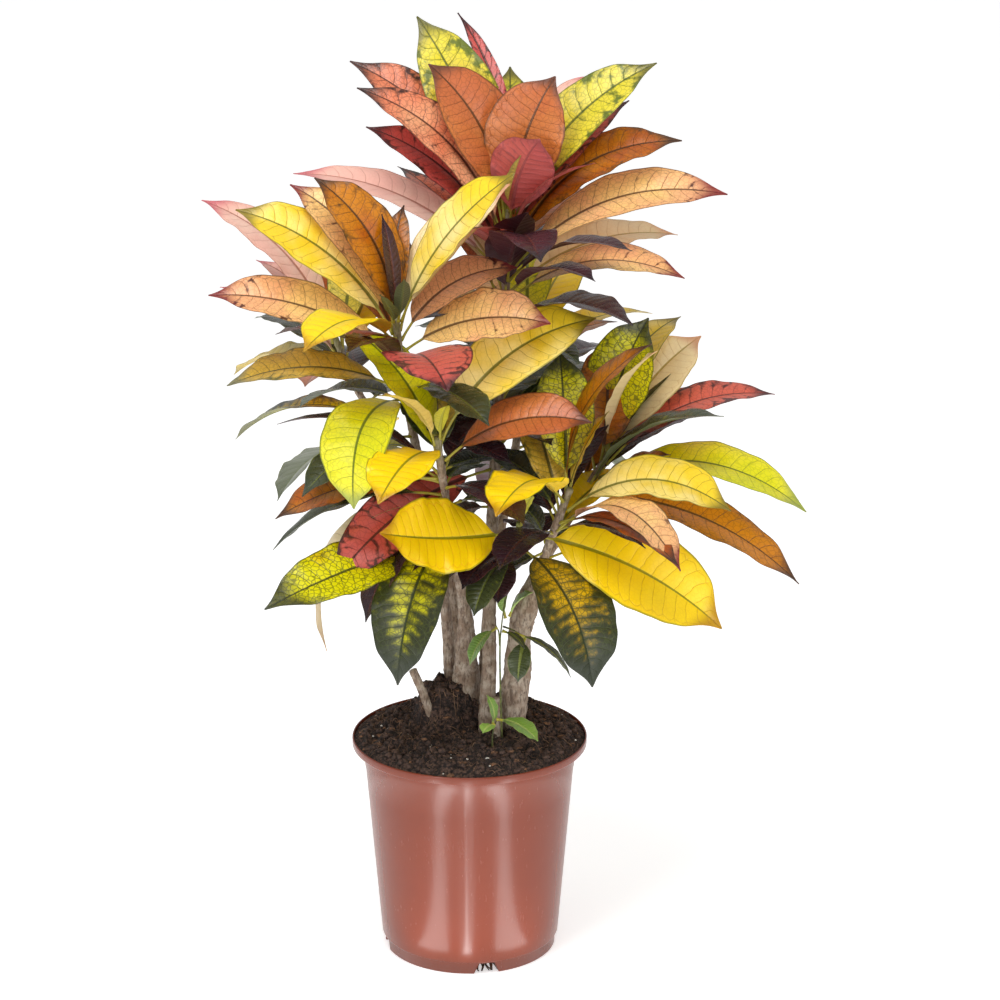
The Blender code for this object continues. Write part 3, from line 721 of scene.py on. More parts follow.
@dataclass(frozen=True)
class VeinPattern:
    """Where a leaf's veins run, and how thick they are drawn.

    Side veins leave the midrib in pairs, lean forwards as they go out, and end in loops
    near the edge. Shares are of the half width c, or of the gap between two side veins.
    Scales are patterns in a metre, and the rib's half widths are in metres.
    """

    lean: float = 0.7
    sweep: float = 0.55
    half_shift: float = 0.42
    wander_scale: float = 45.0
    vein_core: float = 0.02
    vein_width: float = 0.085
    vein_taper: float = -0.03
    vein_end: tuple[float, float] = (0.80, 0.93)
    loop_foot: float = 0.76
    loop_depth: float = 0.12
    loop_width: tuple[float, float] = (0.005, 0.024)
    loop_share: float = 0.75
    blade_start: tuple[float, float] = (0.0, 0.05)
    blade_end: tuple[float, float] = (0.93, 1.0)
    rib_taper: float = 0.0021
    rib_tip: float = 0.0007
    rib_core: float = 0.55
    net_scale: float = 190.0
    net_width: tuple[float, float] = (0.02, 0.11)
    cell_scale: float = 105.0
    cell_fall: float = 2.6
    cells_from: tuple[float, float] = (0.45, 0.85)
    rib_fall: float = 190.0
    dome_height: float = 0.28
    vein_depth: float = -0.22
    rib_depth: float = -0.35
    net_depth: float = -0.05

    def group(self) -> bpy.types.NodeTree:
        """Build the group that draws the veins from a leaf's blade coordinates.

        The side vein count is a phase along the blade, less its forward lean
        lean |c| + sweep |c|^3. "Nearness" is 1 on a vein and falls to 0 in the middle of a
        cell. "Relief" is about 0.5, and turned over on the leaf's underside.

        Returns:
            The node group.
        """
        graph, given, result = new_group(
            "leaf_veins",
            {"Blade": "NodeSocketVector", "Metric": "NodeSocketVector",
             "Pairs": "NodeSocketFloat", "Wander": "NodeSocketFloat"},
            {"Rib": "NodeSocketFloat", "Veins": "NodeSocketFloat", "Net": "NodeSocketFloat",
             "Nearness": "NodeSocketFloat", "Relief": "NodeSocketFloat"})
        c, b, side = graph.parts(given.outputs["Blade"])
        metric = given.outputs["Metric"]
        width, _, _ = graph.parts(metric)
        out = graph.math("ABSOLUTE", c)
        lean = graph.total(graph.times(out, self.lean),
                           graph.times(graph.math("POWER", out, 3.0), self.sweep))
        shift = graph.times(graph.math("GREATER_THAN", c, 0.0), self.half_shift)
        stray = graph.times(
            graph.math("SUBTRACT", graph.noise(metric, self.wander_scale, 3.0), 0.5),
            given.outputs["Wander"], 2.0)
        phase = graph.total(graph.times(b, given.outputs["Pairs"]), graph.times(lean, -1.0),
                            shift, stray)
        saw = graph.math("ABSOLUTE", graph.math("SUBTRACT", graph.math("FRACT", phase), 0.5))
        far = graph.times(saw, 2.0)
        fine_vein = graph.total(self.vein_width, graph.times(out, self.vein_taper))
        veins = graph.times(graph.rest(graph.step(far, self.vein_core, fine_vein)),
                            graph.rest(graph.step(out, *self.vein_end)))
        loop_place = graph.total(
            self.loop_foot, graph.times(graph.math("POWER", far, 0.6), self.loop_depth))
        loop_gap = graph.math("ABSOLUTE", graph.math("SUBTRACT", out, loop_place))
        loops = graph.rest(graph.step(loop_gap, *self.loop_width))
        on_blade = graph.times(graph.step(b, *self.blade_start),
                               graph.rest(graph.step(b, *self.blade_end)))
        drawn = graph.times(
            graph.math("MAXIMUM", veins, graph.times(loops, self.loop_share)), on_blade)
        across = graph.math("ABSOLUTE", width)
        edge = graph.total(graph.times(graph.rest(b), self.rib_taper), self.rib_tip)
        rib = graph.rest(graph.step(across, graph.times(edge, self.rib_core), edge))
        net = graph.rest(graph.step(graph.cells(metric, self.net_scale), *self.net_width))
        wide = graph.cells(metric, self.cell_scale)
        by_cells = graph.rest(graph.times(wide, self.cell_fall), clamp=True)
        mixed = graph.step(out, *self.cells_from)
        near = graph.total(graph.times(graph.rest(far), graph.rest(mixed)),
                           graph.times(by_cells, mixed))
        near = graph.math("MAXIMUM", near,
                          graph.rest(graph.times(across, self.rib_fall), clamp=True))
        dome = graph.times(graph.math("POWER", far, 0.5), self.dome_height, on_blade)
        relief = graph.total(0.5, dome, graph.times(drawn, self.vein_depth),
                             graph.times(rib, self.rib_depth), graph.times(net, self.net_depth))
        turned = graph.total(0.5, graph.times(graph.math("SUBTRACT", relief, 0.5), side))
        for name, value in (("Rib", rib), ("Veins", drawn),
                            ("Net", graph.times(net, on_blade)), ("Nearness", near),
                            ("Relief", turned)):
            graph.put(result.inputs[name], value)
        return graph.tree


STALK_COLOUR = paint(166, 158, 72)
VEIN_WANDER = 0.30


@dataclass(frozen=True)
class LeafFinish:
    """A leaf's colours and how they spread over the blade.

    ground is the main colour, and wash a second one in broad soft areas, more of it where
    wash_along points. blotch comes in patches: their mask is near * nearness to a vein
    + grain * noise + rim * distance from the midrib + far * distance along the blade,
    counted from blotch_from.
    """

    slot: str
    ground: Colour
    wash: Colour
    vein: Colour
    rib: Colour
    blotch: Colour
    tip: Colour
    under: Colour
    wash_share: float = 0.6
    wash_along: float = 0.0
    vein_share: float = 0.6
    net_share: float = 0.10
    near: float = 0.35
    grain: float = 1.0
    rim: float = 0.0
    far: float = 0.0
    blotch_from: float = 1.2
    blotch_soft: float = 0.10
    tip_from: float = 0.86
    pairs: float = 15.0
    roughness: float = 0.34
    bump: float = 0.0011

    def material(self, veins: bpy.types.NodeTree) -> bpy.types.Material:
        """Build the finish's material.

        Args:
            veins: The group that draws the veins.

        Returns:
            The material.
        """
        made, graph, shader = new_material(self.slot)
        blade, metric = graph.attribute("blade"), graph.attribute("metric")
        c, b, side = graph.parts(blade)
        light, more_wash, more_blotches = graph.parts(graph.attribute("mood"))
        out = graph.math("ABSOLUTE", c)
        drawn = graph.group(veins, Blade=blade, Metric=metric, Pairs=self.pairs,
                            Wander=VEIN_WANDER)
        rib, lines, net, nearness, relief = (drawn.outputs[name] for name in
                                             ("Rib", "Veins", "Net", "Nearness", "Relief"))
        broad = graph.noise(metric, 17.0, 3.0)
        along = graph.total(graph.times(graph.math("SUBTRACT", b, 0.5), self.wash_along),
                            more_wash)
        wash = graph.times(graph.step(graph.total(broad, along), 0.34, 0.66), self.wash_share)
        colour = graph.blend(wash, self.ground, self.wash)
        grain = graph.noise(metric, 62.0, 4.0, 0.62)
        field_ = graph.total(graph.times(nearness, self.near), graph.times(grain, self.grain),
                             graph.times(out, self.rim), graph.times(b, self.far),
                             more_blotches)
        patches = graph.step(field_, self.blotch_from - self.blotch_soft,
                             self.blotch_from + self.blotch_soft)
        colour = graph.blend(patches, colour, self.blotch)
        colour = graph.blend(graph.times(net, self.net_share), colour, self.vein)
        colour = graph.blend(graph.times(lines, self.vein_share), colour, self.vein)
        colour = graph.blend(graph.times(rib, 0.85), colour, self.rib)
        margin = graph.times(graph.step(out, 0.93, 0.98), 0.70)
        colour = graph.blend(margin, colour, self.rib)
        ends = graph.step(graph.total(b, graph.times(broad, 0.06), graph.times(out, 0.05)),
                          self.tip_from, self.tip_from + 0.14)
        colour = graph.blend(graph.times(ends, 0.9), colour, self.tip)
        behind = graph.math("LESS_THAN", side, 0.0)
        colour = graph.blend(graph.times(behind, 0.62), colour, self.under)
        colour = graph.blend(graph.step(b, 0.03, -0.02), colour, STALK_COLOUR)
        shade = graph.node("ShaderNodeHueSaturation")
        shade.inputs["Saturation"].default_value = 1.07
        graph.put(shade.inputs["Value"], graph.total(1.09, graph.times(light, 0.22)))
        graph.put(shade.inputs["Color"], colour)
        colour = shade.outputs["Color"]
        dull = graph.total(self.roughness, graph.times(grain, 0.10), graph.times(behind, 0.14),
                           -0.05)
        pores = graph.times(graph.noise(metric, 420.0, 2.0), 0.05)
        graph.finish(shader, colour, dull, graph.bump(graph.total(relief, pores), self.bump))
        shader.inputs["Specular IOR Level"].default_value = 0.45
        shader.inputs["Coat Weight"].default_value = 0.10
        shader.inputs["Coat Roughness"].default_value = 0.22
        return made


class Tint(Enum):
    """The leaf finishes, from the palest leaves to the darkest."""

    YELLOW = LeafFinish(
        "leaf_yellow", paint(236, 204, 76), paint(246, 228, 160), paint(160, 138, 40),
        paint(92, 98, 26), paint(176, 150, 40), paint(120, 104, 40), paint(232, 206, 120),
        vein_share=0.62, wash_along=-0.35, wash_share=0.8, blotch_from=1.20)
    GOLD = LeafFinish(
        "leaf_gold", paint(244, 206, 44), paint(249, 220, 84), paint(198, 150, 30),
        paint(118, 120, 26), paint(228, 172, 44), paint(176, 130, 50), paint(238, 204, 96),
        vein_share=0.45, blotch_from=1.15)
    LEMON = LeafFinish(
        "leaf_lemon", paint(212, 210, 38), paint(238, 226, 92), paint(128, 140, 24),
        paint(74, 96, 22), paint(140, 156, 26), paint(150, 160, 80), paint(224, 218, 104),
        vein_share=0.60, near=0.25, net_share=0.25, blotch_from=0.95)
    LIME = LeafFinish(
        "leaf_lime", paint(210, 198, 66), paint(222, 202, 96), paint(88, 96, 28),
        paint(70, 84, 24), paint(96, 106, 34), paint(86, 84, 40), paint(214, 190, 116),
        near=0.20, rim=0.15, far=0.12, blotch_from=0.90, vein_share=0.65, net_share=0.35)
    SPECKLED = LeafFinish(
        "leaf_speckled", paint(204, 200, 52), paint(208, 140, 52), paint(58, 66, 24),
        paint(34, 46, 16), paint(42, 46, 20), paint(42, 48, 32), paint(140, 140, 80),
        near=0.25, grain=0.9, rim=0.35, far=0.60, blotch_from=0.98, blotch_soft=0.26,
        wash_along=-0.3, vein_share=0.80, net_share=0.70, tip_from=0.78)
    OLIVE = LeafFinish(
        "leaf_olive", paint(204, 172, 78), paint(184, 146, 66), paint(84, 74, 32),
        paint(62, 62, 24), paint(98, 94, 42), paint(110, 112, 88), paint(200, 168, 104),
        near=0.20, rim=0.20, blotch_from=0.92, vein_share=0.7, net_share=0.30)
    CREAM = LeafFinish(
        "leaf_cream", paint(241, 218, 168), paint(248, 234, 196), paint(206, 164, 100),
        paint(176, 150, 76), paint(226, 196, 140), paint(214, 160, 124), paint(240, 214, 170),
        vein_share=0.40, blotch_from=1.25)
    PEACH = LeafFinish(
        "leaf_peach", paint(240, 200, 132), paint(230, 164, 130), paint(116, 64, 42),
        paint(70, 44, 24), paint(70, 36, 30), paint(120, 34, 44), paint(232, 184, 150),
        wash_along=0.25, wash_share=0.75, vein_share=0.66, net_share=0.26, far=0.25,
        near=0.30, rim=0.10, blotch_from=1.12, blotch_soft=0.10)
    SALMON = LeafFinish(
        "leaf_salmon", paint(214, 130, 100), paint(238, 186, 146), paint(84, 42, 34),
        paint(62, 34, 26), paint(52, 30, 26), paint(40, 28, 28), paint(226, 160, 140),
        wash_along=-0.5, vein_share=0.65, net_share=0.40, near=0.15, rim=0.25, far=0.20,
        blotch_from=1.00, blotch_soft=0.09)
    ORANGE = LeafFinish(
        "leaf_orange", paint(194, 120, 74), paint(178, 96, 70), paint(100, 54, 32),
        paint(76, 48, 24), paint(112, 70, 34), paint(84, 50, 38), paint(212, 138, 96),
        wash_along=0.2, vein_share=0.55, net_share=0.28, near=0.12, rim=0.28,
        blotch_from=0.98, blotch_soft=0.16)
    RUST = LeafFinish(
        "leaf_rust", paint(166, 86, 44), paint(204, 142, 60), paint(78, 44, 24),
        paint(60, 38, 20), paint(84, 58, 26), paint(52, 34, 24), paint(188, 116, 80),
        vein_share=0.65, net_share=0.30, near=0.15, rim=0.25, blotch_from=0.92,
        blotch_soft=0.14)
    ROSE = LeafFinish(
        "leaf_rose", paint(198, 102, 86), paint(186, 84, 86), paint(104, 44, 42),
        paint(62, 30, 28), paint(70, 34, 30), paint(56, 26, 30), paint(196, 108, 108),
        vein_share=0.60, net_share=0.25, near=0.35, rim=0.22, far=0.08, blotch_from=1.02)
    PINK = LeafFinish(
        "leaf_pink", paint(238, 204, 186), paint(230, 172, 160), paint(196, 140, 122),
        paint(170, 112, 96), paint(220, 150, 140), paint(196, 108, 116), paint(238, 206, 194),
        vein_share=0.40, wash_along=0.4, blotch_from=1.15)
    MAROON = LeafFinish(
        "leaf_maroon", paint(54, 33, 41), paint(74, 42, 46), paint(40, 23, 28),
        paint(88, 48, 46), paint(96, 52, 42), paint(40, 28, 34), paint(80, 46, 52),
        vein_share=0.45, near=0.2, blotch_from=1.02, roughness=0.27)
    GREEN = LeafFinish(
        "leaf_green", paint(52, 60, 33), paint(76, 82, 50), paint(38, 46, 24),
        paint(112, 120, 60), paint(120, 126, 44), paint(58, 66, 50), paint(98, 106, 76),
        vein_share=0.45, near=-0.35, grain=1.0, blotch_from=0.62, roughness=0.27)
    FRESH = LeafFinish(
        "leaf_green", paint(112, 152, 64), paint(150, 176, 92), paint(70, 104, 40),
        paint(170, 186, 110), paint(96, 136, 50), paint(130, 160, 80), paint(160, 184, 120),
        vein_share=0.35, blotch_from=1.1)


@dataclass(frozen=True)
class Mood:
    """How one leaf differs from the rest of its finish.

    light brightens it, wash brings on its second colour, and blotches its patches.
    """

    light: float = 0.0
    wash: float = 0.0
    blotches: float = 0.0


@dataclass(frozen=True)
class Sprig:
    """A leaf that fills the crown between those that the frame holds.

    drop is measured down the stem, and tip from the growing point, both in millimetres.
    """

    drop: float
    tip: Point
    width: float
    tint: Tint
    roll: float = 0.0
    bow: float = 0.14
    mood: Mood = Mood()


MOODS = {
    "top_leaf_04": Mood(light=0.2, blotches=0.03),
    "top_leaf_05": Mood(light=0.1, blotches=0.02),
    "upper_leaf_01": Mood(light=0.5, wash=-0.2, blotches=-0.62),
    "right_leaf_01": Mood(light=0.4, wash=-0.2, blotches=-0.45),
    "front_leaf_06": Mood(light=0.4, wash=-0.2, blotches=-0.50),
    "low_leaf_01": Mood(light=0.6, wash=-0.3, blotches=-0.66),
    "low_leaf_03": Mood(wash=0.3, blotches=0.02),
    "upper_leaf_04": Mood(light=0.7, wash=-0.2),
    "upper_leaf_05": Mood(light=0.2, wash=0.3, blotches=-0.05),
    "left_leaf_02": Mood(wash=0.15),
}
SPRIGS = {
    "middle": (
        Sprig(26, (-55, 95, 180), 20, Tint.ROSE, -10), Sprig(36, (115, 60, 100), 40, Tint.ROSE, 20),
        Sprig(50, (87, 110, -6), 50, Tint.PEACH), Sprig(30, (75, -20, 60), 35, Tint.ROSE),
        Sprig(70, (118, -90, -20), 45, Tint.MAROON), Sprig(85, (82, -120, -42), 45, Tint.MAROON),
        Sprig(50, (-138, 10, 82), 50, Tint.ROSE, -30), Sprig(80, (-100, 80, -20), 50, Tint.CREAM),
        Sprig(40, (0, 130, 120), 55, Tint.LIME), Sprig(55, (70, 140, 60), 55, Tint.ORANGE),
        Sprig(60, (-80, 130, 70), 55, Tint.ROSE), Sprig(80, (30, 150, -40), 55, Tint.MAROON),
        Sprig(100, (-110, 110, 20), 50, Tint.SALMON),
        Sprig(3, (10, -22, 62), 20, Tint.LIME, 30, 0.05),
        Sprig(4, (-20, 18, 58), 20, Tint.OLIVE, 0, 0.05),
        Sprig(5, (26, 24, 44), 18, Tint.ROSE, 0, 0.05),
        Sprig(130, (-95, -70, -95), 52, Tint.MAROON), Sprig(150, (70, -90, -120), 50, Tint.GREEN),
        Sprig(170, (-60, 110, -110), 55, Tint.OLIVE), Sprig(190, (110, 60, -130), 55, Tint.RUST),
        Sprig(210, (-80, -60, -190), 50, Tint.GREEN), Sprig(225, (40, -90, -215), 50, Tint.MAROON),
        Sprig(240, (90, 110, -190), 55, Tint.GREEN), Sprig(255, (-90, 90, -200), 55, Tint.MAROON),
        Sprig(280, (-30, -60, -300), 46, Tint.GREEN), Sprig(300, (-70, -50, -310), 46, Tint.MAROON),
        Sprig(215, (15, 95, -205), 62, Tint.GREEN), Sprig(235, (50, 70, -245), 60, Tint.MAROON),
        Sprig(250, (-35, 85, -262), 60, Tint.GREEN), Sprig(262, (75, 40, -290), 56, Tint.GREEN),
        Sprig(275, (20, 80, -300), 56, Tint.MAROON), Sprig(240, (85, 60, -235), 60, Tint.GREEN),
        Sprig(205, (-60, 60, -225), 60, Tint.GREEN),
        Sprig(90, (22, -55, 12), 50, Tint.MAROON, 0, 0.10),
        Sprig(262, (-168, -150, -335), 60, Tint.ROSE, -45, 0.10)),
    "left": (
        Sprig(14, (106, 45, 124), 52, Tint.CREAM, 25), Sprig(12, (-9, 110, 65), 45, Tint.MAROON),
        Sprig(22, (-108, 60, 114), 55, Tint.PEACH, -25), Sprig(10, (10, 60, 95), 30, Tint.RUST),
        Sprig(8, (-11, 20, 94), 20, Tint.MAROON),
        Sprig(24, (118, 50, 36), 58, Tint.PEACH, 20, 0.14, Mood(wash=0.25)),
        Sprig(50, (-122, 80, -36), 55, Tint.MAROON),
        Sprig(20, (-45, -60, -5), 30, Tint.ROSE), Sprig(58, (-42, -110, 0), 40, Tint.MAROON),
        Sprig(60, (133, 40, -38), 45, Tint.MAROON), Sprig(3, (14, -20, 38), 16, Tint.GREEN),
        Sprig(3, (-16, -14, 34), 15, Tint.GREEN), Sprig(30, (-60, 130, 20), 55, Tint.ORANGE),
        Sprig(75, (90, -70, -85), 52, Tint.GREEN), Sprig(90, (-100, 70, -110), 55, Tint.GREEN),
        Sprig(105, (60, 110, -100), 55, Tint.MAROON), Sprig(120, (100, -20, -150), 52, Tint.MAROON),
        Sprig(130, (-90, -60, -160), 50, Tint.GREEN), Sprig(145, (-60, 90, -190), 55, Tint.LEMON)),
    "front_left": (
        Sprig(40, (-88, 60, 93), 50, Tint.LEMON, -20), Sprig(8, (-56, -50, 52), 30, Tint.YELLOW),
        Sprig(20, (-33, 90, 56), 58, Tint.GREEN), Sprig(35, (-20, 100, 20), 55, Tint.GREEN),
        Sprig(20, (37, 90, 70), 30, Tint.OLIVE), Sprig(55, (-113, 60, -89), 50, Tint.GREEN),
        Sprig(50, (-115, 50, -52), 50, Tint.LEMON), Sprig(45, (-160, 60, -8), 30, Tint.MAROON),
        Sprig(100, (-77, -20, -180), 50, Tint.MAROON),
        Sprig(110, (-40, -60, -236), 76, Tint.SPECKLED, 0, 0.20, Mood(blotches=0.04)),
        Sprig(70, (-163, 30, -124), 50, Tint.GREEN), Sprig(40, (60, 40, -20), 50, Tint.GREEN),
        Sprig(3, (10, -18, 36), 16, Tint.LEMON), Sprig(60, (85, -60, -70), 50, Tint.MAROON),
        Sprig(75, (-60, 30, -120), 50, Tint.GREEN), Sprig(85, (90, 10, -90), 52, Tint.GREEN),
        Sprig(105, (-40, -10, -150), 46, Tint.MAROON), Sprig(45, (70, 70, 15), 50, Tint.MAROON),
        Sprig(60, (40, 80, -45), 50, Tint.GREEN)),
    "young": (
        Sprig(30, (-85, -20, -75), 50, Tint.MAROON), Sprig(34, (-55, -30, -60), 45, Tint.MAROON),
        Sprig(38, (-45, -40, -84), 38, Tint.GREEN), Sprig(42, (-20, -30, -72), 32, Tint.MAROON),
        Sprig(3, (12, -15, 32), 16, Tint.LEMON)),
    "right": (
        Sprig(40, (103, -100, -36), 45, Tint.RUST, 0, 0.16),
        Sprig(50, (72, -60, -40), 30, Tint.MAROON),
        Sprig(10, (30, 10, 78), 40, Tint.YELLOW), Sprig(30, (30, 40, 60), 35, Tint.MAROON),
        Sprig(20, (79, -10, 150), 50, Tint.RUST, 20), Sprig(60, (60, 100, -20), 50, Tint.GOLD),
        Sprig(55, (-70, -70, -60), 50, Tint.MAROON), Sprig(70, (-90, 40, -30), 50, Tint.GREEN),
        Sprig(80, (-70, 20, -95), 50, Tint.GREEN), Sprig(90, (80, 90, -100), 55, Tint.MAROON),
        Sprig(35, (-85, 60, 22), 52, Tint.GREEN), Sprig(45, (-60, 90, -8), 50, Tint.MAROON),
        Sprig(30, (-35, 70, 75), 48, Tint.OLIVE), Sprig(65, (-50, 80, -60), 58, Tint.MAROON),
        Sprig(75, (-20, 90, -95), 58, Tint.GREEN)),
    "upper_right": (
        Sprig(10, (41, -40, 108), 50, Tint.CREAM, 20), Sprig(20, (-14, 30, 104), 60, Tint.RUST),
        Sprig(30, (-45, 60, 60), 40, Tint.MAROON), Sprig(8, (-15, 20, 55), 30, Tint.MAROON),
        Sprig(10, (80, 110, 96), 55, Tint.YELLOW), Sprig(35, (87, 60, 78), 35, Tint.SPECKLED),
        Sprig(40, (75, 40, 25), 40, Tint.MAROON), Sprig(60, (106, -60, 50), 62, Tint.GREEN),
        Sprig(50, (50, -30, 5), 35, Tint.RUST), Sprig(50, (60, 140, -10), 55, Tint.GOLD),
        Sprig(60, (0, 130, 20), 55, Tint.RUST), Sprig(70, (120, 100, -60), 55, Tint.GREEN)),
    "back_left": (
        Sprig(30, (-120, 50, 41), 50, Tint.PINK), Sprig(20, (-85, 90, 60), 40, Tint.PINK),
        Sprig(20, (-30, 120, 90), 55, Tint.ORANGE), Sprig(25, (50, 110, 40), 55, Tint.GOLD),
        Sprig(40, (-90, 120, -10), 55, Tint.GREEN), Sprig(50, (10, 130, -50), 55, Tint.MAROON),
        Sprig(15, (40, 80, 100), 50, Tint.LIME), Sprig(60, (-40, 140, -90), 58, Tint.RUST),
        Sprig(75, (80, 120, -110), 58, Tint.GREEN), Sprig(90, (-110, 80, -130), 58, Tint.SPECKLED),
        Sprig(110, (20, 140, -170), 60, Tint.GOLD), Sprig(130, (-70, 120, -210), 60, Tint.GREEN)),
    "back_right": (
        Sprig(20, (130, 60, 20), 55, Tint.YELLOW), Sprig(8, (0, 120, 110), 55, Tint.LIME),
        Sprig(40, (110, 110, -40), 55, Tint.MAROON), Sprig(15, (-60, 90, 60), 55, Tint.PEACH),
        Sprig(50, (60, 110, -60), 55, Tint.RUST), Sprig(45, (-120, 60, 0), 55, Tint.GREEN),
        Sprig(70, (130, 10, -80), 58, Tint.SPECKLED), Sprig(80, (20, 120, -140), 60, Tint.SPECKLED),
        Sprig(90, (-90, 90, -120), 58, Tint.RUST), Sprig(105, (110, 80, -170), 60, Tint.GREEN),
        Sprig(125, (-30, 125, -220), 60, Tint.MAROON)),
}


@dataclass
class Foliage:
    """All the leaves: those of the frame's nodes, and the smaller ones between them."""

    stems: dict
    form: BladeForm = BladeForm()
    clearance: float = 0.0065
    ease_rounds: int = 40
    step: float = 0.0016
    stem_clearance: float = 0.011
    materials: dict = field(default_factory=dict)

    def dress(self, name: str, line: LeafLine, seed: int, tint: Tint, mood: Mood,
              nodes: tuple[str, ...] = ()) -> None:
        """Build one leaf and give it its finish.

        Args:
            name: The piece's name.
            line: Where the leaf is.
            seed: Chooses the leaf's waves and pattern.
            tint: Its finish.
            mood: How it differs from its finish.
            nodes: The node that it replaces, if any.
        """
        points, faces, blade, metric = self.form.build(line, seed)
        piece = make_piece(name, points, faces, self.materials[tint], tint.value.slot, nodes)
        give_attribute(piece, "blade", blade)
        give_attribute(piece, "metric", metric)
        give_attribute(piece, "mood", np.tile((mood.light, mood.wash, mood.blotches),
                                              (len(points), 1)))

    def ease_apart(self, bends: list, fixed: list, stem_points: np.ndarray) -> None:
        """Bend the filling leaves aside until they clear the frame's leaves and each other.

        Args:
            bends: The filling leaves, which move.
            fixed: The spread of each leaf of the frame, which stays.
            stem_points: Points down the middle of every stem.
        """
        for _ in range(self.ease_rounds):
            spreads = [bend.line().spread() for bend in bends] + fixed
            lows = np.array([points.min(axis=0) for points, _, _ in spreads]) - self.clearance
            highs = np.array([points.max(axis=0) for points, _, _ in spreads])
            for one, bend in enumerate(bends):
                points, share, face = spreads[one]
                meets = ((lows[one] < highs).all(axis=1) & (lows < highs[one]).all(axis=1))
                for other in np.flatnonzero(meets):
                    if other == one:
                        continue
                    gaps = points[:, None] - spreads[other][0][None]
                    rows, columns = np.nonzero((gaps ** 2).sum(axis=2) < self.clearance ** 2)
                    if not len(rows):
                        continue
                    way = face[rows].mean(axis=0)
                    opposite = spreads[other][2][columns].mean(axis=0)
                    way = unit(way + opposite * (1.0 if way @ opposite > 0.0 else -1.0))
                    side = 1.0 if (gaps[rows, columns] @ way).sum() > 0.0 else -1.0
                    bend.nudge(share[rows].mean(), self.step * side * way)
                gaps = points[:, None] - stem_points[None]
                near = (gaps ** 2).sum(axis=2) < self.stem_clearance ** 2
                near[share < 0.35] = False
                if near.any():
                    rows = np.nonzero(near)[0]
                    bend.nudge(share[rows].mean(), self.step * unit(gaps[near].mean(axis=0)))

    def build(self, moods: dict, sprigs: dict) -> None:
        """Build every leaf.

        Args:
            moods: How some of the frame's leaves differ from their finish, by node.
            sprigs: The filling leaves of each stem.
        """
        veins = VeinPattern().group()
        self.materials = {tint: tint.value.material(veins) for tint in Tint}
        by_slot = {tint.value.slot: tint for tint in reversed(Tint)}
        slots = {part["node"]: part["material_slot"] for part in frame["record"]["subparts"]}
        lines = {node: LeafLine.of_node(node) for node in slots if "_leaf_" in node}
        bends, owners = [], []
        for stem, rows in sprigs.items():
            for number, sprig in enumerate(rows, 1):
                tip = tuple(part / 1000.0 for part in sprig.tip)
                bends.append(LeafBend.grow(self.stems[stem], sprig.drop / 1000.0, tip,
                                           sprig.bow, sprig.width / 1000.0, sprig.roll))
                owners.append((f"{stem}_sprig_{number:02d}", sprig))
        stem_points = np.vstack([path.course[::4] for path in self.stems.values()])
        self.ease_apart(bends, [line.spread() for line in lines.values()], stem_points)
        for seed, (node, line) in enumerate(lines.items(), 1):
            self.dress(f"{node}_blade", line, seed, by_slot[slots[node]],
                       moods.get(node, Mood()), (node,))
        dice = np.random.default_rng(7)  # sets the small differences between the filling leaves
        for seed, (bend, (name, sprig)) in enumerate(zip(bends, owners), 101):
            mood = Mood(sprig.mood.light + dice.uniform(-0.35, 0.25),
                        sprig.mood.wash + dice.uniform(-0.2, 0.2),
                        sprig.mood.blotches + dice.uniform(-0.05, 0.05))
            self.dress(name, bend.line(), seed, sprig.tint, mood)


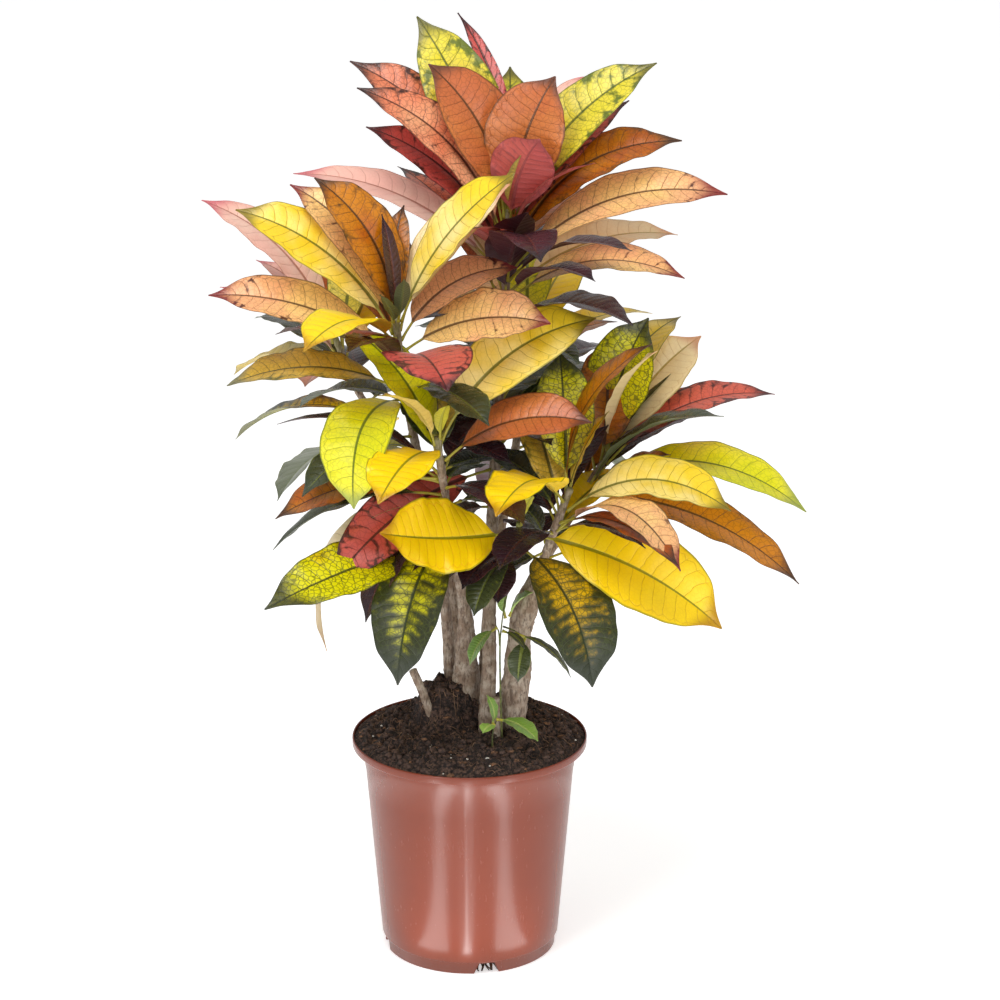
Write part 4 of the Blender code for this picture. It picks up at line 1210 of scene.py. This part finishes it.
# ---- stems -------------------------------------------------------------------------
@dataclass
class Bark:
    """Woody stems with fissured bark and the scars of fallen leaves."""

    around: int = 48
    ring_gap: float = 0.0016
    scar_gap: float = 0.0105
    scar_height: float = 0.0008
    golden_turn: float = math.radians(137.5)
    cells: tuple = ((4, 0.022), (14, 0.016), (24, 0.0035))
    swell: float = 0.09
    crack: float = 0.10
    grain: float = 0.05

    def tube(self, path: StemPath, rough: float, seed: int) -> tuple:
        """Work out a stem's surface.

        The radius is the stem's own, swollen and pinched by soft noise, less narrow upright
        fissures, plus fine grain and a ridge at each leaf scar, which lie a golden turn
        apart. The three noises have so many cells round the stem, each so long.

        Args:
            path: The stem's course and radii.
            rough: Depth of the bark's relief, where 1 is an old stem's.
            seed: Chooses the noise.

        Returns:
            The points, the faces, and the bark coordinates: metres round, metres up, and
            age from 1 at the foot to 0 at the growing point.
        """
        runs = run_lengths(path.course)
        length = runs[-1]
        steps = np.linspace(0.0, length, max(12, int(length / self.ring_gap)))
        fine = smooth_through(runs, np.column_stack([path.course, path.radii]), steps)
        course, radii = fine[:, :3], fine[:, 3][:, None]
        ahead = unit(np.gradient(course, axis=0))
        across = unit(np.cross(ahead, np.array([0.0, 1.0, 0.0])))
        other = np.cross(ahead, across)
        turn = np.linspace(0.0, 2 * math.pi, self.around, endpoint=False)[None, :]
        up = steps[:, None]
        cells = turn / (2 * math.pi)
        swell, crack, grain = (soft_noise(cells * count, up / length_of_cell, seed + number, count)
                               for number, (count, length_of_cell) in enumerate(self.cells))
        swell, grain = self.swell * swell, self.grain * grain
        crack = -self.crack * np.exp(-(crack / 0.22) ** 2)
        scars = np.arange(self.scar_gap, length, self.scar_gap)
        gap = np.angle(np.exp(1j * (turn[..., None] - self.golden_turn * np.arange(len(scars)))))
        rise = up[..., None] - scars
        lower = np.exp(-(rise / 0.0016) ** 2 - (gap / 0.75) ** 2)
        upper = np.exp(-((rise - 0.0032) / 0.0014) ** 2 - (gap / 0.55) ** 2)
        scar = self.scar_height * (lower - 0.5 * upper).sum(axis=2)
        radius = radii * (1.0 + rough * (swell + crack + grain)) + rough * scar
        rings = (course[:, None] + across[:, None] * (radius * np.cos(turn))[..., None]
                 + other[:, None] * (radius * np.sin(turn))[..., None])
        grown = np.stack(np.broadcast_arrays(turn * radii.mean(), up, 1.0 - up / length), axis=-1)
        return tube_points(rings), tube_faces(*radius.shape), tube_points(grown)

    def material(self, name: str, dark: Colour, middle: Colour, pale: Colour) -> bpy.types.Material:
        """Build a bark: upright streaks of three colours, greener towards the tip.

        Args:
            name: The material's name.
            dark: Colour in the fissures.
            middle: Main colour.
            pale: Colour of the lichen-grey patches.

        Returns:
            The material.
        """
        made, graph, shader = new_material(name)
        _, _, age = graph.parts(graph.attribute("grown"))
        place = graph.object_place()
        tall = graph.stretch(place, (1.0, 1.0, 0.30))
        mottle = graph.noise(place, 90.0, 4.0, 0.6)
        streaks = graph.noise(tall, 420.0, 3.0, 0.6)
        colour = graph.blend(graph.times(graph.step(mottle, 0.36, 0.68), 0.8), middle, pale)
        deep = graph.times(graph.step(streaks, 0.56, 0.32), 0.8)
        colour = graph.blend(deep, colour, dark)
        green = graph.step(graph.total(age, graph.times(mottle, 0.2)), 0.22, 0.02)
        colour = graph.blend(green, colour, paint(120, 124, 62))
        height = graph.total(graph.times(streaks, 0.6), graph.times(graph.noise(place, 900.0), 0.3))
        graph.finish(shader, colour, graph.total(0.66, graph.times(mottle, 0.3)),
                     graph.bump(height, 0.0012))
        return made

    def build(self, paths: dict, rough: dict) -> None:
        """Build every stem and stub.

        Args:
            paths: Each stem's path, by node.
            rough: Depth of the relief of those stems that aren't plain, by node.
        """
        brown = self.material("bark_brown", paint(88, 70, 58), paint(140, 118, 100),
                              paint(192, 178, 162))
        green = self.material("bark_green", paint(86, 92, 40), paint(126, 132, 62),
                              paint(150, 150, 90))
        for seed, (node, path) in enumerate(paths.items(), 40):
            young = node == "young_stem"
            points, faces, grown = self.tube(path, rough.get(node, 0.8), seed)
            piece = make_piece(f"{node}_bark", points, faces, green if young else brown,
                               "young_stem" if young else "bark", (node,))
            if node.endswith("_stub"):
                grown[:, 2] = 1.0
            give_attribute(piece, "grown", grown)


# ---- potting mix -------------------------------------------------------------------
def many_tubes(courses: np.ndarray, radii: np.ndarray, around: int) -> tuple:
    """Put many thin closed tubes into one list of points and one of faces.

    Args:
        courses: Middle points, as tube, point, part.
        radii: Radius of each tube at each of its points.
        around: Points in each ring.

    Returns:
        The points and the faces.
    """
    ahead = unit(np.gradient(courses, axis=1))
    across = unit(np.cross(ahead, np.array([0.13, 0.21, 1.0])))
    other = np.cross(ahead, across)
    turn = np.linspace(0.0, 2 * math.pi, around, endpoint=False)
    rings = (courses[:, :, None]
             + across[:, :, None] * (radii[..., None] * np.cos(turn))[..., None]
             + other[:, :, None] * (radii[..., None] * np.sin(turn))[..., None])
    count, length = radii.shape
    points = np.concatenate([rings.reshape(count, -1, 3), courses[:, :1], courses[:, -1:]], axis=1)
    size = points.shape[1]
    one = tube_faces(length, around)
    faces = [tuple(corner + number * size for corner in face)
             for number in range(count) for face in one]
    return points.reshape(-1, 3), faces


@dataclass
class PottingMix:
    """Peaty mix with clods, fibres, bark chips and white perlite, up to the pot's wall."""

    axis: np.ndarray
    wall: "PotWall"
    edge_level: float = 0.2255
    crown: float = 0.017
    mound: Point = (-0.021, 0.004, 0.042)
    mound_spread: float = 0.0315
    mound_notch: float = 0.012
    clods: tuple = ((0.011, 0.0042), (0.005, 0.0034), (0.0021, 0.0016))
    gap: float = 0.0003
    rings: int = 150
    around: int = 360
    slot: str = "potting_mix"

    def level(self, x: np.ndarray, y: np.ndarray) -> np.ndarray:
        """Height of the mix round the pot's axis: a heap, a mound of roots, and clods.

        The heap is 1 - (r/R)^4 and the mound exp(-(r/spread)^6), with its edge pushed in
        and out by noise. Clods are soft noise of three cell sizes and heights.
        """
        share = np.hypot(x, y) / self.edge_radius
        heap = self.crown * (1.0 - share ** 4)
        ragged = 1.0 + 0.16 * soft_noise(x / self.mound_notch, y / self.mound_notch, 6)
        away = np.hypot(x - self.mound[0], y - self.mound[1]) * ragged
        mound = self.mound[2] * np.exp(-(away / self.mound_spread) ** 6)
        clods = sum(height * soft_noise(x / cell, y / cell, seed)
                    for seed, (cell, height) in enumerate(self.clods, 3))
        fade = np.clip(5.0 * (1.0 - share), 0.0, 1.0)
        return self.edge_level + heap + mound + clods * (0.15 + 0.85 * fade)

    @property
    def edge_radius(self) -> float:
        """Radius of the mix inside the pot's collar."""
        return self.wall.rim_radius - self.wall.thickness - 0.0004

    def material(self) -> bpy.types.Material:
        """Build the dark crumbly mix, with painted shade in the hollows between its crumbs."""
        made, graph, shader = new_material("potting_mix_crumb")
        place = graph.object_place()
        crumbs = graph.cells(place, 330.0, "F1")
        tone = graph.noise(place, 70.0, 5.0, 0.7)
        specks = graph.noise(place, 640.0, 2.0)
        colour = graph.blend(graph.step(tone, 0.38, 0.62), paint(46, 33, 29), paint(92, 70, 60))
        colour = graph.blend(graph.step(specks, 0.63, 0.70), colour, paint(132, 100, 76))
        # painted shade: the darkest colour goes where the crumb cells sink in the bump, in the
        # hollows between crumbs
        colour = graph.blend(graph.step(crumbs, 0.35, 0.75), colour, paint(30, 21, 18))
        height = graph.total(graph.times(crumbs, -0.7), graph.times(specks, 0.5))
        graph.finish(shader, colour, graph.total(0.82, graph.times(tone, 0.15)),
                     graph.bump(height, 0.0025))
        return made

    def build_body(self) -> None:
        """Build the mix from its surface down the inside of the pot to the floor."""
        floor = self.wall.foot_height + self.wall.floor + self.gap
        shelf = self.wall.height - self.wall.lip_height + self.wall.thickness + self.gap
        below = np.array([shelf, shelf, 0.15, 0.08, floor, floor])
        turn = np.linspace(0.0, 2 * math.pi, self.around, endpoint=False)[None, :]
        radius = np.concatenate([
            np.linspace(1.0 / self.rings, 1.0, self.rings) * self.edge_radius,
            [self.edge_radius], self.wall.inner_radius(below[1:5]) - 0.0012, [0.05]])[:, None]
        x, y = radius * np.cos(turn), radius * np.sin(turn)
        z = self.level(x, y)
        z[self.rings:] = below[:, None]
        rings = np.stack([x, y, z], axis=-1)[::-1] + self.axis
        make_piece("mix_body", tube_points(rings), tube_faces(*z.shape), self.material(),
                   self.slot, ("potting_mix",))

    def scattered(self, count: int, seed: int, sink: float) -> tuple:
        """Spread places evenly over the mix.

        Args:
            count: Number of places.
            seed: Chooses them.
            sink: Depth below the surface.

        Returns:
            The places round the pot's axis, and the dice that chose them.
        """
        dice = np.random.default_rng(seed)
        radius = (self.edge_radius - 0.004) * np.sqrt(dice.uniform(0, 1, count))
        turn = dice.uniform(0.0, 2 * math.pi, count)
        x, y = radius * np.cos(turn), radius * np.sin(turn)
        return np.column_stack([x, y, self.level(x, y) - sink]), dice

    def build_fibres(self, count: int = 420, points: int = 7) -> None:
        """Lay pale peat fibres and rootlets over the mix, each a thin bent tube."""
        place, dice = self.scattered(count, 11, 0.0)
        heading = dice.uniform(0.0, 2 * math.pi, count)
        curl = dice.uniform(-1.6, 1.6, count)
        share = np.linspace(-0.5, 0.5, points)
        length = dice.uniform(0.006, 0.022, count)[:, None]
        angle = heading[:, None] + curl[:, None] * share
        step = length / points
        x = place[:, :1] + np.cumsum(np.cos(angle), axis=1) * step
        y = place[:, 1:2] + np.cumsum(np.sin(angle), axis=1) * step
        inside = np.hypot(x, y).max(axis=1) < self.edge_radius - 0.001
        arch = 0.0025 * dice.uniform(0.2, 1.0, count)[:, None] * (1.0 - (2 * share) ** 2)
        courses = np.stack([x, y, self.level(x, y) + arch], axis=-1)[inside] + self.axis
        radii = dice.uniform(0.00016, 0.00042, count)[inside, None] * np.linspace(1.0, 0.5, points)
        made = grainy_material("peat_fibre", 150.0, (paint(84, 58, 44), paint(150, 118, 92)),
                               (0.7, 0.25), 0.0003)
        make_piece("mix_fibres", *many_tubes(courses, radii, 4), made, self.slot)

    def build_lumps(self, name: str, count: int, seed: int, sizes: tuple[float, float],
                    flat: float, dark: Colour, pale: Colour) -> None:
        """Strew small angular lumps over the mix.

        Args:
            name: The piece's name.
            count: Number of lumps.
            seed: Chooses their places and shapes.
            sizes: Least and greatest radius.
            flat: Height over width.
            dark: Their darker colour.
            pale: Their paler colour.
        """
        place, dice = self.scattered(count, seed, self.gap)
        polar = np.linspace(0.25, math.pi - 0.25, 4)[None, :, None]
        turn = np.linspace(0.0, 2 * math.pi, 7, endpoint=False)[None, None, :]
        size = dice.uniform(*sizes, count)[:, None, None]
        ragged = size * dice.uniform(0.65, 1.25, (count, 4, 7))
        long_way = dice.uniform(0, 6.3, count)[:, None, None]
        ragged = ragged * (1.0 + 0.5 * np.cos(turn - long_way) ** 2)
        x, y = ragged * np.sin(polar) * np.cos(turn), ragged * np.sin(polar) * np.sin(turn)
        z = -flat * size * np.cos(polar) * np.ones_like(turn)
        rings = np.stack([x, y, z], axis=-1) + (place + self.axis)[:, None, None]
        ends = np.stack([rings[:, 0].mean(axis=1), rings[:, -1].mean(axis=1)], axis=1)
        points = np.concatenate([rings.reshape(count, -1, 3), ends], axis=1)
        faces = [tuple(corner + number * points.shape[1] for corner in face)
                 for number in range(count) for face in tube_faces(4, 7)]
        made = grainy_material(f"{name}_grain", 260.0, (dark, pale), (0.75, 0.2), 0.0008, 0.6)
        make_piece(name, points.reshape(-1, 3), faces, made, self.slot)

    def build(self) -> None:
        """Build the mix and everything that lies on it."""
        self.build_body()
        self.build_fibres()
        self.build_lumps("mix_crumbs", 850, 21, (0.0012, 0.0036), 0.8,
                         paint(44, 32, 28), paint(90, 68, 58))
        self.build_lumps("mix_chips", 110, 22, (0.0018, 0.0042), 0.35,
                         paint(70, 46, 34), paint(138, 100, 72))
        self.build_lumps("mix_perlite", 46, 23, (0.0006, 0.0013), 0.9,
                         paint(196, 188, 176), paint(236, 232, 224))


# ---- pot ---------------------------------------------------------------------------
@dataclass(frozen=True)
class PotWall:
    """The sizes of the pot's wall that other pieces rest against."""

    height: float
    rim_radius: float
    top_radius: float = 0.1085
    bottom_radius: float = 0.091
    thickness: float = 0.0018
    lip_height: float = 0.009
    foot_height: float = 0.0125
    floor: float = 0.002

    def outer_radius(self, level: np.ndarray) -> np.ndarray:
        """Outer radius of the tapered wall at a height."""
        share = (level - self.foot_height) / (self.height - self.lip_height - self.foot_height)
        return self.bottom_radius + share * (self.top_radius - self.bottom_radius)

    def inner_radius(self, level: np.ndarray) -> np.ndarray:
        """Inner radius of the tapered wall at a height."""
        return self.outer_radius(level) - self.thickness


@dataclass
class Pot:
    """A thin moulded nursery pot with a collar and a notched foot ring."""

    axis: np.ndarray
    wall: PotWall
    foot_radius: float = 0.088
    foot_width: float = 0.0045
    step_drop: float = 0.022
    step_depth: float = 0.0006
    notch_turn: float = math.radians(281.6)
    notch_count: int = 4
    notch_wide: float = 0.026
    notch_narrow: float = 0.016
    around: int = 256
    mould_turn: float = math.radians(268.0)
    mould_height: float = 0.00022

    def profile(self) -> np.ndarray:
        """The pot's section as rows of radius, height, and 1 on the foot ring's underside."""
        wall, foot = self.wall, self.foot_radius
        under = wall.height - wall.lip_height
        step = under - self.step_drop
        inside = wall.inner_radius(wall.foot_height + wall.floor)
        rim, top, thin = wall.rim_radius, wall.height, wall.thickness
        levels = np.linspace(wall.foot_height + 0.0025, step, 9)
        body = np.column_stack([wall.outer_radius(levels), levels, 0 * levels])
        rows = [
            (0.004, wall.foot_height, 0), (foot - self.foot_width - 0.001, wall.foot_height, 0),
            (foot - self.foot_width, wall.foot_height - 0.001, 0),
            (foot - self.foot_width, 0.0006, 1), (foot - self.foot_width + 0.0006, 0.0, 1),
            (foot - 0.0008, 0.0, 1), (foot, 0.0008, 1), (foot, wall.foot_height - 0.0008, 0),
            (foot + 0.0008, wall.foot_height, 0),
            (wall.bottom_radius - 0.001, wall.foot_height + 0.0004, 0),
            (wall.bottom_radius - 0.0002, wall.foot_height + 0.0012, 0), *body.tolist(),
            (wall.outer_radius(step) + self.step_depth, step + 0.0008, 0),
            (wall.outer_radius(under) + self.step_depth, under, 0),
            (wall.top_radius + self.step_depth + 0.0012, under + 0.0004, 0),
            (rim - 0.0018, under + 0.0004, 0), (rim - 0.0007, under + 0.0007, 0),
            (rim - 0.0001, under + 0.0016, 0), (rim, top - 0.0012, 0),
            (rim - 0.0003, top - 0.0003, 0), (rim - 0.0009, top, 0),
            (rim - thin + 0.0003, top - 0.0001, 0), (rim - thin, top - 0.0006, 0),
            (rim - thin, under + thin + 0.0006, 0), (rim - thin - 0.0008, under + thin, 0),
            (wall.top_radius - thin, under + thin, 0),
            (wall.inner_radius(0.15), 0.15, 0), (inside, wall.foot_height + wall.floor, 0),
            (0.004, wall.foot_height + wall.floor, 0)]
        return np.array(rows)

    def turns(self) -> tuple[np.ndarray, np.ndarray]:
        """The angles of the mesh's columns, and how far each lifts the foot's underside.

        A notch is a trapezium: its opening narrows from the ground to the pot's floor, so
        the lift rises from 0 to 1 between its wide and its narrow half width.
        """
        wide, narrow = (0.5 * width / self.foot_radius
                        for width in (self.notch_wide, self.notch_narrow))
        centres = self.notch_turn + 2 * math.pi * np.arange(self.notch_count) / self.notch_count
        corners = centres[:, None] + np.array([-wide, -narrow, narrow, wide])
        even = np.arange(self.around) * 2 * math.pi / self.around
        turn = np.unique(np.concatenate([even, corners.ravel() % (2 * math.pi)]).round(6))
        gap = abs(np.angle(np.exp(1j * (turn[:, None] - centres)))).min(axis=1)
        return turn, np.clip((wide - gap) / (wide - narrow), 0.0, 1.0)

    def material(self) -> bpy.types.Material:
        """Build the terracotta-coloured plastic: faint upright flow lines and handling marks."""
        made, graph, shader = new_material("pot_plastic_moulded")
        place = graph.stretch(graph.object_place(), (1.0, 1.0, 1.0),
                              tuple(float(part) for part in -self.axis))
        tone = graph.noise(place, 14.0, 3.0)
        upright = graph.noise(graph.stretch(place, (1.0, 1.0, 0.03)), 260.0, 2.0)
        level_lines = graph.noise(graph.stretch(place, (0.02, 0.02, 1.0)), 520.0, 2.0)
        marks = graph.noise(graph.stretch(place, (1.0, 1.0, 0.25)), 300.0, 4.0, 0.7)
        _, _, height = graph.parts(place)
        colour = graph.blend(tone, paint(112, 45, 24), paint(126, 53, 29))
        colour = graph.blend(graph.times(graph.step(marks, 0.64, 0.74), 0.25), colour,
                             paint(164, 90, 70))
        near_ground = graph.step(graph.total(height, graph.times(marks, 0.03)), 0.05, 0.0)
        colour = graph.blend(graph.times(near_ground, 0.35), colour, paint(128, 78, 62))
        dull = graph.total(0.20, graph.times(tone, 0.04), graph.times(marks, 0.08))
        relief = graph.total(graph.times(upright, 0.5), graph.times(level_lines, 0.35),
                             graph.times(marks, 0.12))
        graph.finish(shader, colour, dull, graph.bump(relief, 0.00012))
        shader.inputs["Specular IOR Level"].default_value = 0.5
        return made

    def build(self) -> None:
        """Turn the section round the axis, with a fine mould line up the front and back."""
        turn, lift = self.turns()
        radius, level, under = (column[:, None] for column in self.profile().T)
        level = level + under * lift[None, :] * (self.wall.foot_height - 0.0012 - level)
        line = np.exp(-(np.angle(np.exp(2j * (turn - self.mould_turn))) / 0.03) ** 2)
        outer = (radius > self.wall.outer_radius(level) - 0.0009) & (level > self.wall.foot_height)
        outer &= level < self.wall.height - self.wall.lip_height
        radius = radius + np.where(outer, self.mould_height * line[None, :], 0.0)
        rings = np.stack([radius * np.cos(turn), radius * np.sin(turn),
                          np.broadcast_to(level, radius.shape)], axis=-1) + self.axis
        faces = [face[::-1] for face in tube_faces(*radius.shape)]
        make_piece("pot_shell", tube_points(rings), faces, self.material(), "pot_plastic", ("pot",))


# ---- sprouts and roots -------------------------------------------------------------
@dataclass
class Sprouts:
    """A thin young shoot between the trunks, seedlings on the mix, and roots below."""

    axis: np.ndarray
    foliage: Foliage

    def leaf(self, name: str, base: Point, tip: Point, width: float, tint: Tint,
             light: float, seed: int) -> None:
        """Build one small leaf between two places round the pot's axis."""
        bend = LeafBend.between(self.axis + base, self.axis + tip, 0.12, width, 0.0)
        self.foliage.dress(name, bend.line(), seed, tint, Mood(light=light))

    def threads(self, name: str, courses: list, radius: float, colours: tuple, slot: str) -> None:
        """Build thin shoots or roots as tapered tubes.

        Args:
            name: The piece's name.
            courses: The points that each one follows, round the pot's axis.
            radius: Radius at the foot.
            colours: A darker and a paler colour.
            slot: The record's material slot.
        """
        runs = np.linspace(0.0, 1.0, 24)
        paths = np.stack([smooth_through(np.linspace(0, 1, len(course)), np.array(course), runs)
                          for course in courses]) + self.axis
        radii = np.tile(radius * (1.0 - 0.55 * runs), (len(courses), 1))
        made = grainy_material(f"{name}_skin", 240.0, colours, (0.5, 0.3), 0.0004)
        make_piece(name, *many_tubes(paths, radii, 10), made, slot)

    def build(self, notch_turn: float) -> None:
        """Build the shoot, the seedlings and the roots."""
        shoot = [(0.033, -0.052, 0.238), (0.031, -0.049, 0.33), (0.033, -0.048, 0.366),
                 (0.038, -0.046, 0.400)]
        branch = [(0.034, -0.048, 0.362), (0.044, -0.048, 0.358), (0.057, -0.048, 0.350)]
        side = [(0.031, -0.049, 0.342), (0.030, -0.050, 0.356), (0.027, -0.050, 0.364)]
        seedling = [(0.023, -0.066, 0.236), (0.024, -0.065, 0.255), (0.028, -0.066, 0.270)]
        self.threads("young_shoot", [shoot, branch, side, seedling], 0.0011,
                     (paint(66, 70, 34), paint(110, 116, 56)), "young_stem")
        fresh, green = Tint.FRESH, Tint.GREEN
        leaves = {
            "shoot_leaf": (
                ((0.028, -0.050, 0.362), (0.001, -0.062, 0.326), 0.026, fresh, -0.4),
                ((0.046, -0.048, 0.355), (0.102, -0.060, 0.312), 0.019, green, 0.6),
                ((0.056, -0.048, 0.350), (0.049, -0.072, 0.312), 0.024, green, 1.2),
                ((0.034, -0.049, 0.358), (0.056, -0.062, 0.343), 0.013, green, 0.3),
                ((0.040, -0.045, 0.372), (0.064, -0.048, 0.398), 0.028, fresh, 0.7),
                ((0.036, -0.046, 0.370), (0.043, -0.050, 0.412), 0.022, fresh, 0.0)),
            "seedling_leaf": (
                ((0.024, -0.065, 0.262), (0.018, -0.062, 0.294), 0.016, fresh, 0.2),
                ((0.025, -0.066, 0.264), (0.014, -0.084, 0.262), 0.016, fresh, 1.6),
                ((0.028, -0.066, 0.270), (0.069, -0.086, 0.254), 0.028, fresh, -0.2)),
        }
        rows = [(f"{kind}_{number:02d}", *row) for kind, group in leaves.items()
                for number, row in enumerate(group, 1)]
        dice = np.random.default_rng(31)
        roots = []
        for turn in dice.uniform(-0.13, 0.13, 14) + notch_turn:
            radius = np.array([0.060, 0.072, 0.080, 0.0855])
            height = np.array([0.0118, 0.0095, 0.0065, 0.0022]) * dice.uniform(0.7, 1.1)
            angle = turn + dice.uniform(-0.05, 0.05, 4)
            roots.append(np.column_stack([radius * np.cos(angle), radius * np.sin(angle), height]))
        for seed, row in enumerate(rows, 301):
            self.leaf(*row, seed)
        self.threads("drain_roots", roots, 0.0013, (paint(34, 24, 20), paint(92, 66, 50)),
                     "potting_mix")


# ---- studio ------------------------------------------------------------------------
@dataclass
class Studio:
    """White floor and surround, soft boxes, and the camera."""

    axis: np.ndarray
    camera_from_axis: Point = (0.0311, -3.3526, 1.5475)
    camera_down: float = math.radians(17.674)
    lens: float = 126.43
    surround: float = 0.50
    floor_reach: float = 9.0
    floor_glow: float = 0.53
    lit_place: Point = (0.0, 0.0, 0.42)
    strip_length: float = 0.50
    strip_reach: float = 0.36
    strip_level: float = 0.008

    def lamp(self, name: str, size: tuple[float, float], power: float) -> bpy.types.Object:
        """Add a rectangular area light, not yet placed."""
        light = bpy.data.lights.new(name, "AREA")
        light.shape, light.energy = "RECTANGLE", power
        light.size, light.size_y = size
        held = bpy.data.objects.new(name, light)
        bpy.context.scene.collection.objects.link(held)
        return held

    def soft_box(self, name: str, place: Point, size: tuple[float, float], power: float) -> None:
        """Add a light that faces the crown's middle."""
        box = self.lamp(name, size, power)
        box.location = place
        aim = np.array(self.lit_place) - np.array(place)
        turn = math.atan2(aim[0], -aim[1])
        tip = math.atan2(math.hypot(aim[0], aim[1]), -aim[2])
        box.rotation_euler = Euler((tip, 0.0, turn + math.pi))

    def floor_strip(self, name: str, turn: float, width: float, power: float) -> None:
        """Lay a lamp on the floor that runs out from the pot, to draw an upright gloss on it.

        turn is in degrees from the camera's side of the pot, positive to the right.
        """
        strip = self.lamp(name, (width, self.strip_length), power)
        turn = math.radians(turn)
        strip.location = self.axis + self.strip_reach * np.array(
            [math.sin(turn), -math.cos(turn), 0.0])
        strip.location.z = self.strip_level
        strip.rotation_euler = Euler((math.pi, 0.0, turn))
        strip.visible_camera = False

    def build(self) -> None:
        """Build the floor, the light and the camera."""
        reach = self.floor_reach
        corners = [(-reach, -reach, 0.0), (reach, -reach, 0.0), (reach, reach, 0.0),
                   (-reach, reach, 0.0)]
        mesh = bpy.data.meshes.new("studio_floor")
        mesh.from_pydata(corners, [], [(0, 1, 2, 3)])
        floor = bpy.data.objects.new("studio_floor", mesh)
        bpy.context.scene.collection.objects.link(floor)
        made, graph, shader = new_material("studio_white")
        shader.inputs["Base Color"].default_value = (0.93, 0.93, 0.93, 1.0)
        shader.inputs["Roughness"].default_value = 0.6
        shader.inputs["Emission Color"].default_value = (1.0, 1.0, 1.0, 1.0)
        shader.inputs["Emission Strength"].default_value = self.floor_glow
        mesh.materials.append(made)
        world = bpy.data.worlds.new("studio_surround")
        world.use_nodes = True
        graph = Graph(world.node_tree)
        background = world.node_tree.nodes["Background"]
        background.inputs["Color"].default_value = (1.0, 1.0, 1.0, 1.0)
        seen = graph.node("ShaderNodeLightPath").outputs["Is Camera Ray"]
        graph.put(background.inputs["Strength"], graph.total(
            self.surround, graph.times(seen, 1.0 - self.surround)))
        bpy.context.scene.world = world
        self.soft_box("left_soft_box", (-1.35, -2.3, 1.3), (0.55, 1.7), 16.0)
        self.soft_box("right_soft_box", (1.6, -2.0, 1.2), (0.5, 1.7), 10.0)
        self.soft_box("top_soft_box", (-0.3, -0.8, 2.6), (1.4, 1.2), 28.0)
        self.floor_strip("left_strip", -30.0, 0.055, 0.34)
        self.floor_strip("middle_strip", -2.0, 0.014, 0.24)
        self.floor_strip("right_strip", 35.0, 0.060, 0.36)
        camera = bpy.data.cameras.new("camera")
        camera.lens, camera.sensor_width = self.lens, 36.0
        viewer = bpy.data.objects.new("camera", camera)
        viewer.location = self.axis + self.camera_from_axis
        viewer.rotation_euler = Euler((math.pi / 2 - self.camera_down, 0.0, 0.0))
        bpy.context.scene.collection.objects.link(viewer)
        bpy.context.scene.camera = viewer
        bpy.context.scene.view_settings.view_transform = "Standard"


def main() -> None:
    """Build the studio, the pot, the mix, the stems, the leaves and the sprouts."""
    logging.basicConfig(level=logging.INFO, format="%(message)s")
    low, high = (np.array(corner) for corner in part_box("pot"))
    axis = np.array([(low[0] + high[0]) / 2, (low[1] + high[1]) / 2, 0.0])
    Studio(axis).build()
    wall = PotWall(height=float(high[2]), rim_radius=float(high[0] - low[0]) / 2)
    pot = Pot(axis, wall)
    pot.build()
    PottingMix(axis, wall).build()
    nodes = [name for name in frame["nodes"] if name.endswith(("_stem", "_stub"))]
    paths = {node: StemPath.of_node(node) for node in nodes}
    Bark().build(paths, {"front_left_stem": 1.25, "young_stem": 0.25, "cut_stub": 1.0})
    foliage = Foliage({name.removesuffix("_stem"): path for name, path in paths.items()})
    foliage.build(MOODS, SPRIGS)
    Sprouts(axis, foliage).build(pot.notch_turn)


if __name__ == "__main__":
    main()
